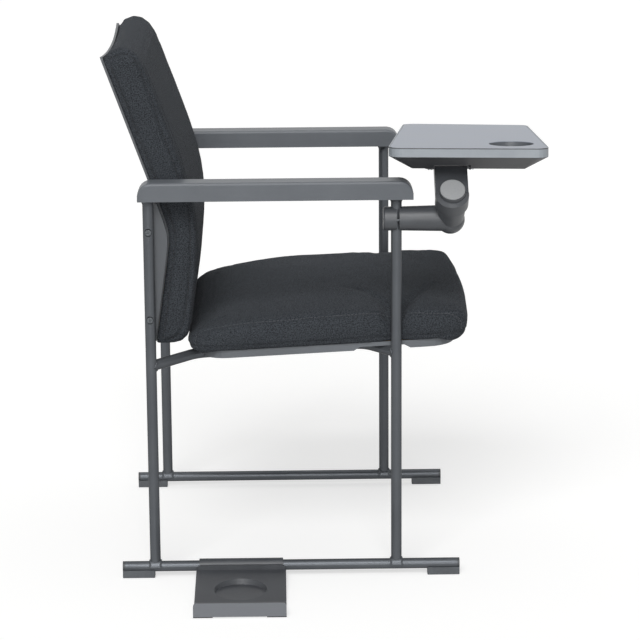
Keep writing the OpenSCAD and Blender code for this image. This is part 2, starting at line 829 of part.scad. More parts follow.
// A slice of the armrest's side view, of the given width
module arm_slice(inset, w) {
    translate([0, w / 2, 0]) rotate([90, 0, 0]) linear_extrude(w) polygon(arm_outline(inset));
}

// Armrest moulding: rounded along the top, hollow inside, with two screw bosses
module armrest(side) {
    placed() translate([arm_x, side * side_y, arm_z]) difference() {
        hull() {
            arm_slice(0, arm_w - 2 * arm_edge_r);
            arm_slice(arm_edge_r * 0.3, arm_w - arm_edge_r * 0.6);
            arm_slice(arm_edge_r, arm_w);
            translate([0, -arm_w / 2, 0]) cube([arm_l, arm_w, arm_h / 3]);
        }
        translate([bar_end, 0, -cut]) linear_extrude(bar_t + cut) polygon(rounded(
            rectangle(0, -bar_w / 2, bar_l, bar_w / 2), same(bar_end, 4)));
        difference() {
            translate([2 * bar_end, -bar_w / 2 + arm_wall / 2, bar_t - push_fit])
                cube([arm_l - 4 * bar_end, bar_w - arm_wall, arm_h - arm_wall - bar_t]);
            for (x = [bar_end + arm_screw_in, bar_end + bar_l - arm_screw_in]) translate([x, 0, 0])
                cylinder(d = arm_boss_d, h = arm_h);
        }
        for (x = [bar_end + arm_screw_in, bar_end + bar_l - arm_screw_in]) translate([x, 0, 0])
            cylinder(d = arm_screw_d + 2 * push_fit, h = bar_t + arm_screw_l);
    }
}

module armrest_right() {
    color(arm_grey) armrest(-1);
}

module armrest_left() {
    color(arm_grey) armrest(1);
}

module armrest_screws() {
    color(steel) placed() for (side = [-1, 1], x = [arm_screw_in, bar_l - arm_screw_in])
        translate([arm_x + bar_end + x, side * side_y, arm_z])
            screw(arm_screw_d, arm_screw_l, screw_head_d, pan_head_h);
}

// A sheet that follows the back's curve at the given heights, between two distances ahead of the
// shell's rear face
module back_sheet(from, to, heights, w) {
    last = len(heights) - 1;
    translate([0, w / 2, 0]) rotate([90, 0, 0]) linear_extrude(w) polygon(concat(
        [for (z = heights) [back_curve(z) + from, z]],
        [for (i = [0:last]) let (z = heights[last - i]) [back_curve(z) + to, z]]));
}

// The back's front view: rounded corners and a top edge that dips in the middle
module back_outline(w, z0, z1, r_top, r_foot, dip) {
    dip_r = dip > 0 ? pow(w / 2, 2) / (2 * dip) + dip / 2 : w;
    rotate([90, 0, 90]) linear_extrude(4 * side_y, center = true) difference() {
        polygon(rounded(rectangle(-w / 2, z0, w / 2, z1), [r_foot, r_foot, r_top, r_top]));
        if (dip > 0) translate([0, z1 - dip + dip_r]) circle(r = dip_r, $fn = 256);
    }
}

// Ear at one side of the shell that fills the space between the curve and the post
module shell_ear() {
    heights = [for (i = [0:curve_steps / 2]) ear_bottom_z + (ear_top_z - ear_bottom_z) * i
        / (curve_steps / 2)];
    difference() {
        translate([0, -side_y + tube_r + ear_fit + ear_w, 0]) rotate([90, 0, 0]) linear_extrude(ear_w)
            intersection() {
                polygon(concat([[-ear_rear, ear_top_z], [-ear_rear, ear_bottom_z]],
                    [for (z = heights) [back_curve(z) + shell_t / 2, z]]));
                polygon(rounded(rectangle(-ear_rear, ear_bottom_z, side_y, ear_top_z),
                    [ear_r, cut, cut, 2 * ear_r]));
            }
        for (z = [back_screw_low_z, back_screw_high_z]) translate([0, -side_y + tube_r, z]) {
            y_cylinder(insert_d / 2, -cut, ear_fit + insert_l);
            y_cylinder(back_screw_d / 2 + screw_fit, 0, ear_w - ear_r);
        }
    }
}

// Moulded outer shell of the back with its two mounting ears
module back_shell() {
    color(plastic_grey) placed() union() {
        intersection() {
            back_sheet(0, shell_t, shell_heights, shell_w);
            back_outline(shell_w, back_bottom_z, back_top_z, shell_corner_r, shell_foot_r, shell_dip);
        }
        both_sides() shell_ear();
    }
}

// Threaded inserts in the shell's ears
module back_inserts() {
    color("#b08d4a") placed() both_sides() for (z = [back_screw_low_z, back_screw_high_z])
        translate([0, -side_y + tube_r + ear_fit, z]) difference() {
            y_cylinder(insert_d / 2, 0, insert_l);
            y_cylinder(back_screw_d / 2 + push_fit, -cut, insert_l + cut);
        }
}

// Screws through the rear posts into the inserts
module back_screws() {
    color(steel) placed() both_sides() for (z = [back_screw_low_z, back_screw_high_z])
        translate([0, -side_y - tube_r + dimple_depth, z]) rotate([-90, 0, 0])
            screw(back_screw_d, tube_d - dimple_depth + ear_fit + insert_l, back_head_d, back_head_h);
}

module back_board_solid() {
    intersection() {
        back_sheet(shell_t, shell_t + back_board_t, shell_heights, shell_w);
        back_outline(shell_w - 2 * board_margin, back_bottom_z + board_margin,
            back_top_z - board_margin, shell_foot_r, shell_foot_r, 0);
    }
}

// Pressed board that carries the back cushion
module back_board() {
    color(board_tan) placed() back_board_solid();
}

// A point of the back cushion: depth is its share of the way from the shell to the front
function back_point(y, z, depth, overcut) =
    let (rear = back_curve(z) + shell_t)
    [rear + depth * (pad_curve(z) - rear) - overcut, y, z];
// One ring of the back cushion; its rear rings dip along the top like the shell
function back_ring(depth, side, top, bottom) =
    let (z0 = back_pad_bottom_z + bottom, z1 = back_pad_top_z - top, y1 = back_pad_w / 2 - side,
         radii = [for (r = back_corner_rs) r - (top + side) / 4],
         dip = shell_dip * clamped(1 - 2 * depth))
    [for (p = soft_outline(-y1, z0, y1, z1, radii, back_ring_counts))
        let (z = p.y - (p.y > lumbar_z ? dip * (1 - pow(p.x / y1, 2)) : 0))
        back_point(p.x, z, depth, depth == 0 ? pad_overcut : 0)];

// Back cushion: it follows the curved board, with boxed sides and a soft crowned front
module back_cushion() {
    mid = [0, (back_pad_bottom_z + back_pad_top_z) / 2];
    last = back_ring_shares[len(back_ring_shares) - 1];
    side_rings = [for (ring = back_ring_shares)
        back_ring(ring[0], ring[1] * back_roll, ring[2] * back_roll, ring[3] * back_roll)];
    seam = side_rings[len(side_rings) - 1];
    front_rings = [for (share = crown_shares) [for (p = seam)
        let (q = mid + (1 - share) * ([p.y, p.z] - mid))
        back_point(q.x, q.y, last[0] + (1 - last[0]) * (1 - pow(1 - share, 3)), 0)]];
    rings = concat(side_rings, front_rings);
    color(charcoal) placed() difference() {
        polyhedron(concat([for (ring = rings) each ring],
            [back_point(0, mid.y, 1, 0), back_point(0, mid.y, 0, pad_overcut)]),
            ring_faces(len(rings), len(seam)));
        back_sheet(-2 * pad_overcut, shell_t, concat([back_pad_bottom_z - cut], shell_heights,
            [back_pad_top_z + cut]), 2 * back_pad_w);
        back_board_solid();
    }
}

// Rear half of the clamp on the front post
module clamp_cap() {
    color(frame_grey) placed() translate([0, -side_y, arm_axis_z]) difference() {
        translate([cap_end, 0, 0]) rotate([0, -90, 0]) rotate_extrude() union() {
            square([clamp_d / 2, clamp_cap_l - cap_round]);
            square([clamp_d / 2 - cap_round, clamp_cap_l]);
            translate([clamp_d / 2 - cap_round, clamp_cap_l - cap_round]) circle(r = cap_round);
        }
        translate([post_spacing, 0, -clamp_d]) cylinder(r = tube_r + push_fit, h = 2 * clamp_d);
        for (side = [-1, 1]) translate([0, side * clamp_screw_y, 0]) {
            x_cylinder(clamp_screw_d / 2 + screw_fit, 0, post_spacing + clamp_d);
            x_cylinder(clamp_head_d / 2 + screw_fit, 0, cap_end - clamp_cap_l + clamp_head_h);
        }
    }
}

module clamp_screws() {
    color(steel) placed() for (side = [-1, 1])
        translate([cap_end - clamp_cap_l + clamp_head_h, -side_y + side * clamp_screw_y, arm_axis_z])
            rotate([0, 90, 0]) screw(clamp_screw_d, clamp_screw_l, clamp_head_d, clamp_head_h - clamp_head_sunk);
}

// Cast arm: front half of the clamp, tapered tube and elbow up to the hinge
module tablet_arm() {
    color(frame_grey) difference() {
        union() {
            placed() translate([0, -side_y, arm_axis_z]) translate([arm_start, 0, 0])
                rotate([0, 90, 0]) cylinder(d1 = clamp_d, d2 = elbow_d, h = hinge_from_rear - arm_start);
            at_hinge() along_axis() translate([0, 0, -elbow_drop]) sphere(d = elbow_ball_d);
            at_hinge() along_axis() cylinder(d1 = elbow_d, d2 = elbow_top_d, h = elbow_h);
        }
        placed() translate([post_spacing, -side_y, arm_axis_z - clamp_d])
            cylinder(r = tube_r + push_fit, h = 2 * clamp_d);
        placed() for (side = [-1, 1]) translate([0, -side_y + side * clamp_screw_y, arm_axis_z])
            x_cylinder(clamp_screw_d / 2 + push_fit, post_spacing,
                cap_end - clamp_cap_l + clamp_head_h + clamp_screw_l + push_fit);
        at_hinge() along_axis() translate([0, 0, pin_start])
            cylinder(d = pin_d + 2 * push_fit, h = elbow_h);
    }
}

// Steel pin on which the tablet turns, pressed into the elbow
module hinge_pin() {
    color(steel) at_hinge() along_axis() translate([0, 0, pin_start + push_fit])
        cylinder(d = pin_d, h = nut_cavity_z + run_gap + spring_t + nut_h - pin_start);
}

// Thin washer between the elbow and the hub
module friction_washer() {
    color(pale_grey) at_hinge() along_axis() translate([0, 0, elbow_h]) difference() {
        cylinder(d = elbow_top_d - 2 * washer_in, h = washer_t);
        translate([0, 0, -cut]) cylinder(d = pin_d + 2 * pin_fit, h = washer_t + 2 * cut);
    }
}

// Stack of spring washers that presses the hub onto the elbow
module spring_washers() {
    color(steel) at_hinge() along_axis() translate([0, 0, nut_cavity_z + run_gap]) difference() {
        for (i = [0:2]) translate([0, 0, i * spring_t / 3])
            if (i % 2 == 0) cylinder(d1 = spring_d, d2 = spring_d - spring_cone, h = spring_t / 3);
            else cylinder(d1 = spring_d - spring_cone, d2 = spring_d, h = spring_t / 3);
        translate([0, 0, -cut]) cylinder(d = pin_d + 2 * push_fit, h = spring_t + 2 * cut);
    }
}

module hinge_nut() {
    color(steel) at_hinge() along_axis() translate([0, 0, nut_cavity_z + run_gap + spring_t])
        difference() {
            cylinder(d = nut_af / cos(30), h = nut_h, $fn = 6);
            translate([0, 0, -cut]) cylinder(d = pin_d + 2 * push_fit, h = nut_h + 2 * cut);
        }
}

// Positions of the four screws that hold the tablet
module at_tablet_screws() {
    for (x = [flange_x0 + flange_inset, flange_x1 - flange_inset / 2],
         y = [flange_y0 + 2 * flange_inset, flange_y1 - flange_inset])
        translate([x, y, tablet_base_h - flange_t]) children();
}

// Cast bracket: hub on the hinge axis, neck up to the tablet and a flange under it
module tablet_bracket() {
    color(frame_grey) at_hinge() difference() {
        union() {
            difference() {
                along_axis() {
                    translate([0, 0, hub_z])
                        cylinder(d1 = hub_d - 2 * hub_chamfer, d2 = hub_d, h = hub_chamfer);
                    translate([0, 0, hub_z + hub_chamfer])
                        cylinder(d = hub_d, h = hub_t - hub_chamfer - hub_bevel);
                    translate([0, 0, hub_face_z - hub_bevel])
                        cylinder(d1 = hub_d, d2 = hub_d - 2 * hub_bevel, h = hub_bevel);
                    translate([0, 0, hub_face_z]) cylinder(d = boss_d, h = boss_h);
                    translate([-neck_w / 2 + neck_bevel, 0, hub_z + hub_chamfer])
                        cube([neck_w - 2 * neck_bevel, 2 * tablet_base_h, neck_t]);
                    translate([-neck_w / 2, 0, hub_z + hub_chamfer + neck_bevel])
                        cube([neck_w, 2 * tablet_base_h, neck_t - 2 * neck_bevel]);
                }
                translate([-tablet_l, -tablet_w, tablet_base_h])
                    cube([2 * tablet_l, 2 * tablet_w, tablet_w]);
            }
            translate([0, 0, tablet_base_h - flange_t]) linear_extrude(flange_t) polygon(rounded(
                rectangle(flange_x0, flange_y0, flange_x1, flange_y1), same(flange_r, 4)));
        }
        along_axis() {
            cylinder(d = pin_d + 2 * pin_fit, h = boss_top_z);
            translate([0, 0, nut_cavity_z]) cylinder(d = nut_cavity_d, h = boss_h + hub_t);
        }
        at_tablet_screws() translate([0, 0, -cut])
            cylinder(d = tablet_screw_d + 2 * screw_fit, h = flange_t + 2 * cut);
    }
}

// Round cap that closes the hub
module hub_cap() {
    color(pale_grey) at_hinge() along_axis() translate([0, 0, boss_top_z]) {
        cylinder(d = hub_cap_d, h = cap_disc_h - cap_chamfer);
        translate([0, 0, cap_disc_h - cap_chamfer])
            cylinder(d1 = hub_cap_d, d2 = hub_cap_d - 2 * cap_chamfer, h = cap_chamfer);
        translate([0, 0, -cap_spigot_h]) cylinder(d = nut_cavity_d - 2 * push_fit, h = cap_spigot_h);
    }
}

module tablet_screws() {
    color(steel) at_hinge() at_tablet_screws()
        screw(tablet_screw_d, tablet_screw_l, tablet_head_d, pan_head_h);
}

// The tablet's outline, drawn in by an inset
function tablet_outline(inset) =
    let (corners = [for (c = tablet_corner_shares) [c.x * tablet_l, c.y * tablet_w]],
         centre = (corners[0] + corners[1] + corners[2] + corners[3]) / 4)
    rounded([for (i = [0:3])
        let (prev = corners[(i + 3) % 4], next = corners[(i + 1) % 4],
             a = unit(prev - corners[i]), b = unit(next - corners[i]),
             reach = inset / sin(acos(a * b) / 2))
        corners[i] + reach * unit(a + b)],
        [for (r = tablet_corner_rs) max(r - inset / 2, panel_inset)]);

// Pocket in the moulding's bevel, where the bracket's neck goes in
module neck_pocket(wall) {
    translate([-neck_w / 2 - pocket_gap - wall, -pocket_out, tablet_base_h - cut])
        cube([neck_w + 2 * pocket_gap + 2 * wall, pocket_out - pocket_in + wall,
            cut + pocket_h + wall]);
}

// The lower moulding's solid form, shrunk by a wall
module tablet_form(wall) {
    translate([0, 0, band_z]) linear_extrude(band_h + (wall > 0 ? cut : 0))
        polygon(tablet_outline(wall));
    hull() {
        translate([0, 0, band_z]) linear_extrude(cut) polygon(tablet_outline(wall));
        translate([0, 0, tablet_base_h + wall]) linear_extrude(cut) polygon(tablet_outline(bevel_w));
    }
}

// Lower moulding: edge band, bevelled underside, a seat for the panel and four screw bosses
module tablet_base() {
    color(tablet_grey) at_hinge() difference() {
        tablet_form(0);
        difference() {
            tablet_form(tablet_wall);
            at_tablet_screws() cylinder(d = tablet_boss_d, h = tablet_screw_l + 2 * flange_t);
            neck_pocket(tablet_wall);
        }
        neck_pocket(0);
        translate([0, 0, tablet_top_z - panel_t]) linear_extrude(panel_t + cut)
            polygon(tablet_outline(panel_inset));
        at_tablet_screws() cylinder(d = tablet_screw_d + 2 * push_fit, h = tablet_screw_l + push_fit);
    }
}

// Top panel with its moulded cup recess
module tablet_top() {
    color(tablet_grey) at_hinge() difference() {
        union() {
            translate([0, 0, tablet_top_z - panel_t]) linear_extrude(panel_t)
                polygon(tablet_outline(panel_inset + panel_seam));
            translate([cup_x, cup_y, tablet_top_z - cup_depth - cup_wall])
                cylinder(d = cup_d + 2 * cup_wall, h = cup_depth + cup_wall);
        }
        translate([cup_x, cup_y, tablet_top_z - cup_depth])
            cylinder(d1 = cup_floor_d, d2 = cup_d, h = cup_depth);
        translate([cup_x, cup_y, tablet_top_z - push_fit]) cylinder(d = cup_d, h = cut);
    }
}

// The tray's plate in side view, from the ridge out to the lip, down to the given depth below its
// top; a depth of 0 gives everything under its top
module tray_plate(x0, w, depth) {
    inner_y = ridge_y + ridge_t / 2;
    outer_y = tray_out_y + lip_t / 2;
    translate([x0, 0, 0]) rotate([90, 0, 90]) linear_extrude(w) polygon(concat(
        [[inner_y, plate_start_z], [plate_level_y, plate_end_z], [outer_y, plate_end_z]],
        depth > 0
            ? [[outer_y, plate_end_z - depth], [plate_level_y, plate_end_z - depth],
                [inner_y, plate_start_z - depth]]
            : [[outer_y, tray_foot_h], [inner_y, tray_foot_h]]));
}

// A bar with rounded upper corners that stands across the tray
module tray_wall(y0, y1, z0, z1, w) {
    translate([tray_mid_x, y1, 0]) rotate([90, 0, 0]) linear_extrude(y1 - y0) polygon(rounded(
        rectangle(-w / 2, z0, w / 2, z1), [cut, cut, lip_corner_r, lip_corner_r]));
}

// Tray that hooks over the right floor rail: hook, ridge, sloping plate, round dish and lip
module drip_tray() {
    color(plastic_grey) placed() difference() {
        union() {
            tray_plate(tray_x, tray_w, plate_end_z - tray_foot_h);
            tray_wall(ridge_y, ridge_y + ridge_t, plate_start_z - tray_t, ridge_top_z, ridge_w);
            tray_wall(tray_out_y, tray_out_y + lip_t, tray_foot_h, lip_h, tray_w);
            for (x = [tray_x, tray_x + tray_w - tray_rib_t]) tray_plate(x, tray_rib_t, 0);
            intersection() {
                tray_plate(tray_x, tray_w, 0);
                translate([tray_mid_x, dish_y, tray_foot_h]) cylinder(
                    d1 = dish_floor_d + 2 * dish_wall, d2 = dish_d + 4 * dish_wall, h = plate_start_z);
            }
            translate([tray_mid_x, -side_y, rail_z]) difference() {
                union() {
                    x_cylinder(hook_out_r, -hook_w / 2, hook_w / 2);
                    translate([-hook_w / 2, -hook_out_r - ridge_t / 2, plate_start_z - tray_t - rail_z])
                        cube([hook_w, hook_out_r, tray_t + ridge_t]);
                }
                x_cylinder(hook_in_r, -tray_w, tray_w);
                translate([-tray_w, -hook_in_r, -2 * tube_d]) cube([2 * tray_w, 2 * tube_d, 2 * tube_d]);
            }
        }
        translate([tray_mid_x, dish_y, dish_floor_z])
            cylinder(d1 = dish_floor_d, d2 = dish_d + dish_floor_z, h = plate_start_z);
    }
}

// Two pads under the corners of the tray's lip
module tray_feet() {
    color(rubber_black) placed() for (x = [tray_x, tray_x + tray_w - tray_foot_l])
        translate([x, tray_out_y, 0]) cube([tray_foot_l, lip_t, tray_foot_h]);
}

rail_right();
rail_left();
rail_end_caps();
foot_glides();
rear_post_right();
rear_post_left();
front_post_right();
front_post_left();
seat_tube_right();
seat_tube_left();
seat_cross_tubes();
seat_tabs();
seat_screws();
seat_pan();
seat_board();
seat_cushion();
arm_bar_right();
arm_bar_left();
armrest_right();
armrest_left();
armrest_screws();
back_shell();
back_inserts();
back_screws();
back_board();
back_cushion();
clamp_cap();
clamp_screws();
tablet_arm();
hinge_pin();
friction_washer();
spring_washers();
hinge_nut();
tablet_bracket();
hub_cap();
tablet_screws();
tablet_base();
tablet_top();
drip_tray();
tray_feet();
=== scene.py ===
import math

import bpy
import numpy as np
from mathutils import Matrix, Vector, noise
from mathutils.bvhtree import BVHTree
from mathutils.kdtree import KDTree


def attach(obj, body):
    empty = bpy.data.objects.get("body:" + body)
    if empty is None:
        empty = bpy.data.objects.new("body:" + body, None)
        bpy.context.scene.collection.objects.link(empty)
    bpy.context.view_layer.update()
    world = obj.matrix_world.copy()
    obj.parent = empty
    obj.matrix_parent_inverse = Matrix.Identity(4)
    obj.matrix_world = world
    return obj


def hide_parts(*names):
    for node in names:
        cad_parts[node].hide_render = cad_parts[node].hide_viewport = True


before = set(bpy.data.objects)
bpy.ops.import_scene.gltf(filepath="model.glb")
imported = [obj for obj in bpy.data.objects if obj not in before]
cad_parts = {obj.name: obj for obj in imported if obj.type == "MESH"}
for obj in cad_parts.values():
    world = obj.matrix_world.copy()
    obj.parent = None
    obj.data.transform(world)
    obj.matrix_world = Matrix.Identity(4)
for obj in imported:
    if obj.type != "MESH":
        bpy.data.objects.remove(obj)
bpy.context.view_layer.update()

# The photograph's view
# A long lens stands 4.5 m off the chair's right side, above the armrests, and looks down 13 degrees.
# Its place, turn and length were fitted to the chair's edges, so that a render lines up with the photograph.
# Half a pixel of shift lays the middles of both pictures' pixels on each other.
origin_x, origin_y = 291.14627, -96.0


def at(x, y, z):
    """A point of the chair in mm: x ahead of the rear posts, y left of the middle, z above the floor"""
    return Vector(((x - origin_x) / 1000, (y - origin_y) / 1000, z / 1000))


lens_px, frame_px, sensor_mm = 2617.07, 640, 36.0
camera_at = at(220.565, -4529.544, 1460.548)
yaw, pitch, roll = 0.01509, 0.23334, -0.00698
ahead = Vector((math.sin(yaw) * math.cos(pitch), math.cos(yaw) * math.cos(pitch), -math.sin(pitch)))
level = Vector((math.cos(yaw), -math.sin(yaw), 0))
rise = level.cross(ahead)
right = math.cos(roll) * level + math.sin(roll) * rise
up = math.cos(roll) * rise - math.sin(roll) * level
camera_data = bpy.data.cameras.new("camera")
camera_data.sensor_width = sensor_mm
camera_data.lens = lens_px / frame_px * sensor_mm
camera_data.shift_x = -0.5 / frame_px
camera_data.shift_y = 0.5 / frame_px
camera_data.clip_end = 100
camera = bpy.data.objects.new("camera", camera_data)
bpy.context.scene.collection.objects.link(camera)
turn = Matrix((right, up, -ahead)).transposed()
camera.matrix_world = Matrix.Translation(camera_at) @ turn.to_4x4()
bpy.context.scene.camera = camera
bpy.context.scene.view_settings.view_transform = "Standard"

# Welded frame
# Round steel tube of 18 mm, cut, coped and welded into two sled sides with bowed seat tubes between them.
# The whole frame is blasted and powder coated dark grey after welding, so the beads carry the same coat.


def rgb(code):
    """A linear colour from an sRGB hex value"""
    parts = [int(code[i:i + 2], 16) / 255 for i in (1, 3, 5)]
    return (*[c / 12.92 if c <= 0.04045 else ((c + 0.055) / 1.055) ** 2.4 for c in parts], 1.0)


def join(material, node, links):
    """Links output sockets to a node's inputs"""
    for key, source in links.items():
        material.node_tree.links.new(source, node.inputs[key])


def add(material, kind, values=None, links=None, stops=(), **settings):
    """Adds one node to a material, with its socket values, its links, its ramp's stops and its settings"""
    node = material.node_tree.nodes.new("ShaderNode" + kind)
    for key, value in settings.items():
        setattr(node, key, value)
    for key, value in (values or {}).items():
        node.inputs[key].default_value = value
    join(material, node, links or {})
    for i, (place, colour) in enumerate(stops):
        node.color_ramp.elements[i].position = place
        node.color_ramp.elements[i].color = rgb(colour)
    return node


def start(name, colour, roughness, **shader_values):
    """A new material with the finish's typical values; returns it, its shader and its object coordinates"""
    material = bpy.data.materials.new(name)
    material.use_nodes = True
    material.diffuse_color = rgb(colour)
    shader = material.node_tree.nodes["Principled BSDF"]
    shader.inputs["Base Color"].default_value = rgb(colour)
    shader.inputs["Roughness"].default_value = roughness
    for key, value in shader_values.items():
        shader.inputs[key.replace("_", " ")].default_value = value
    return material, shader, add(material, "TexCoord").outputs["Object"]


def dress(material, *nodes):
    """Gives a finish to CAD nodes through their objects' material slots"""
    for node in nodes:
        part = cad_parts[node]
        if not part.data.materials:
            part.data.materials.append(material)
        for place in part.material_slots:
            place.material = material


# Anthracite powder coat with fine metal flake: a satin glow down the middle of each tube and dark flanks,
# with a fine orange peel that breaks up the highlight
powder_coat, shader, where = start("flake powder coat on steel", "#5a5d61", 0.33, Metallic=0.42,
                                   Specular_IOR_Level=0.12)
shader.inputs["Specular Tint"].default_value = rgb("#2c2d2f")
peel_mm, cloud_mm = 1.1, 71.43
peel = add(powder_coat, "TexNoise", {"Scale": 1000 / peel_mm, "Detail": 2.0}, {"Vector": where})
cloud = add(powder_coat, "TexNoise", {"Scale": 1000 / cloud_mm, "Detail": 4.0}, {"Vector": where})
tone = add(powder_coat, "ValToRGB", links={"Fac": cloud.outputs["Fac"]},
           stops=((0.3, "#575a5e"), (0.7, "#5e6165")))
gloss = add(powder_coat, "MapRange", {"To Min": 0.29, "To Max": 0.37}, {"Value": cloud.outputs["Fac"]})
relief = add(powder_coat, "Bump", {"Strength": 0.35, "Distance": 0.00012}, {"Height": peel.outputs["Fac"]})
join(powder_coat, shader, {"Base Color": tone.outputs["Color"], "Roughness": gloss.outputs["Result"],
                           "Normal": relief.outputs["Normal"]})
dress(powder_coat, "rail_right", "rail_left", "rear_post_right", "rear_post_left", "front_post_right",
      "front_post_left", "seat_tube_right", "seat_tube_left", "seat_cross_tubes", "seat_tabs",
      "arm_bar_right", "arm_bar_left")


def deselect():
    """Leaves edit mode and deselects everything"""
    if bpy.context.object and bpy.context.object.mode != "OBJECT":
        bpy.ops.object.mode_set(mode="OBJECT")
    bpy.ops.object.select_all(action="DESELECT")


def pick(obj):
    """Makes one object the only selected and active one"""
    deselect()
    obj.select_set(True)
    bpy.context.view_layer.objects.active = obj


def settle(obj, name, material):
    """Names a finished piece, puts its place in its mesh and gives it its finish"""
    pick(obj)
    bpy.ops.object.transform_apply(location=True, rotation=True, scale=True)
    obj.name = name
    obj.data.name = name
    obj.data.materials.clear()
    obj.data.materials.append(material)
    return obj


side_y, posts_x, post_r, bow_r = 265, 412, 9, 9
bead_r, bead_sunk_share, ripples, ripple_share, bead_steps = 1.7, 0.2, 22, 0.16, 96


def weld(name, foot, run):
    """A rippled weld bead where a seat tube that leaves a post at foot along run meets it, all in mm"""
    post_axis, run = Vector((0, 0, 1)), run.normalized()
    across = post_axis.cross(run).normalized()
    over = run.cross(across)
    path = []
    for i in range(bead_steps):
        turn_by = 2 * math.pi * i / bead_steps
        rim = (bow_r + bead_r * bead_sunk_share) * (across * math.cos(turn_by) + over * math.sin(turn_by))
        flat_rim = rim - post_axis * rim.dot(post_axis)
        flat_run = run - post_axis * run.dot(post_axis)
        a, b = flat_run.length_squared, flat_rim.dot(flat_run)
        c = flat_rim.length_squared - (post_r + bead_r * bead_sunk_share) ** 2
        reach = (-b + math.sqrt(max(b * b - a * c, 0))) / a
        path.append(foot + rim + run * reach)
    curve = bpy.data.curves.new(name, "CURVE")
    curve.dimensions = "3D"
    curve.bevel_depth = bead_r / 1000
    curve.bevel_resolution = 2
    spline = curve.splines.new("POLY")
    spline.points.add(len(path) - 1)
    spline.use_cyclic_u = True
    for i, point in enumerate(path):
        spline.points[i].co = (*at(*point), 1)
        spline.points[i].radius = 1 + ripple_share * math.sin(2 * math.pi * i / bead_steps * ripples)
    obj = bpy.data.objects.new(name, curve)
    bpy.context.scene.collection.objects.link(obj)
    pick(obj)
    bpy.ops.object.convert(target="MESH")
    obj = bpy.context.object
    bpy.ops.object.shade_smooth()
    settle(obj, name, powder_coat)
    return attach(obj, "chair")


seat_tilt = math.radians(2.8)
seat_z = 371


def on_seat(x, y, z):
    """A point of the seat frame's tilted plane, in the chair's own mm"""
    return Vector((x * math.cos(seat_tilt) - z * math.sin(seat_tilt), y,
                   seat_z + x * math.sin(seat_tilt) + z * math.cos(seat_tilt)))


bow_l = posts_x / math.cos(seat_tilt)
rear_leave, front_leave = math.radians(45), math.radians(180 - 55)
seat_level = on_seat(1, 0, 0) - on_seat(0, 0, 0)
for side, hand in ((-1, "right"), (1, "left")):
    for end, angle, x in (("rear", rear_leave, 0), ("front", front_leave, bow_l)):
        heading = seat_level * math.cos(angle) + Vector((0, -side * math.sin(angle), 0))
        weld(f"weld_{end}_{hand}", on_seat(x, side * side_y, 0), heading)

# Rail ends and glides
# A polyethylene cap closes each end of the floor rails, and a moulded glide is pegged under it.
# Both are injection moulded in grey-black plastic with a fine eroded grain and no paint.
cap_black, shader, where = start("moulded polyethylene cap", "#35373a", 0.5, IOR=1.51)
grain_mm, scuff_mm = 0.9, 16.67
grain = add(cap_black, "TexNoise", {"Scale": 1000 / grain_mm, "Detail": 3.0}, {"Vector": where})
scuff = add(cap_black, "TexNoise", {"Scale": 1000 / scuff_mm, "Detail": 6.0, "Roughness": 0.7},
            {"Vector": where})
tone = add(cap_black, "ValToRGB", links={"Fac": scuff.outputs["Fac"]},
           stops=((0.35, "#313336"), (0.75, "#3e4044")))
relief = add(cap_black, "Bump", {"Strength": 0.3, "Distance": 0.0001}, {"Height": grain.outputs["Fac"]})
join(cap_black, shader, {"Base Color": tone.outputs["Color"], "Normal": relief.outputs["Normal"]})
dress(cap_black, "rail_end_caps")

# Glides: polypropylene, matt and rubbed slightly lighter in patches
glide_grey, shader, where = start("moulded polypropylene glide", "#4d5054", 0.55, IOR=1.49)
grain = add(glide_grey, "TexNoise", {"Scale": 1000 / grain_mm, "Detail": 3.0}, {"Vector": where})
rub_mm = 22.22
rub = add(glide_grey, "TexNoise", {"Scale": 1000 / rub_mm, "Detail": 5.0, "Roughness": 0.65},
          {"Vector": where})
tone = add(glide_grey, "ValToRGB", links={"Fac": rub.outputs["Fac"]},
           stops=((0.35, "#484b4f"), (0.72, "#565a5e")))
relief = add(glide_grey, "Bump", {"Strength": 0.35, "Distance": 0.0001}, {"Height": grain.outputs["Fac"]})
join(glide_grey, shader, {"Base Color": tone.outputs["Color"], "Normal": relief.outputs["Normal"]})
dress(glide_grey, "foot_glides")

# Seat pan, board and fixings
# A moulded polypropylene pan closes the seat from below and carries a plywood board.
# Four zinc-plated screws pass up through welded tabs and the pan into the board.
pan_grey, shader, where = start("moulded seat pan", "#5c6064", 0.5, IOR=1.49)
leather_mm, flow_mm = 1.6, 125
cells = add(pan_grey, "TexVoronoi", {"Scale": 1000 / leather_mm}, {"Vector": where}, feature="SMOOTH_F1")
flow = add(pan_grey, "TexNoise", {"Scale": 1000 / flow_mm, "Detail": 3.0}, {"Vector": where})
tone = add(pan_grey, "ValToRGB", links={"Fac": flow.outputs["Fac"]},
           stops=((0.3, "#585c60"), (0.7, "#63676c")))
relief = add(pan_grey, "Bump", {"Strength": 0.3, "Distance": 0.00015}, {"Height": cells.outputs["Distance"]})
join(pan_grey, shader, {"Base Color": tone.outputs["Color"], "Normal": relief.outputs["Normal"]})
dress(pan_grey, "seat_pan")

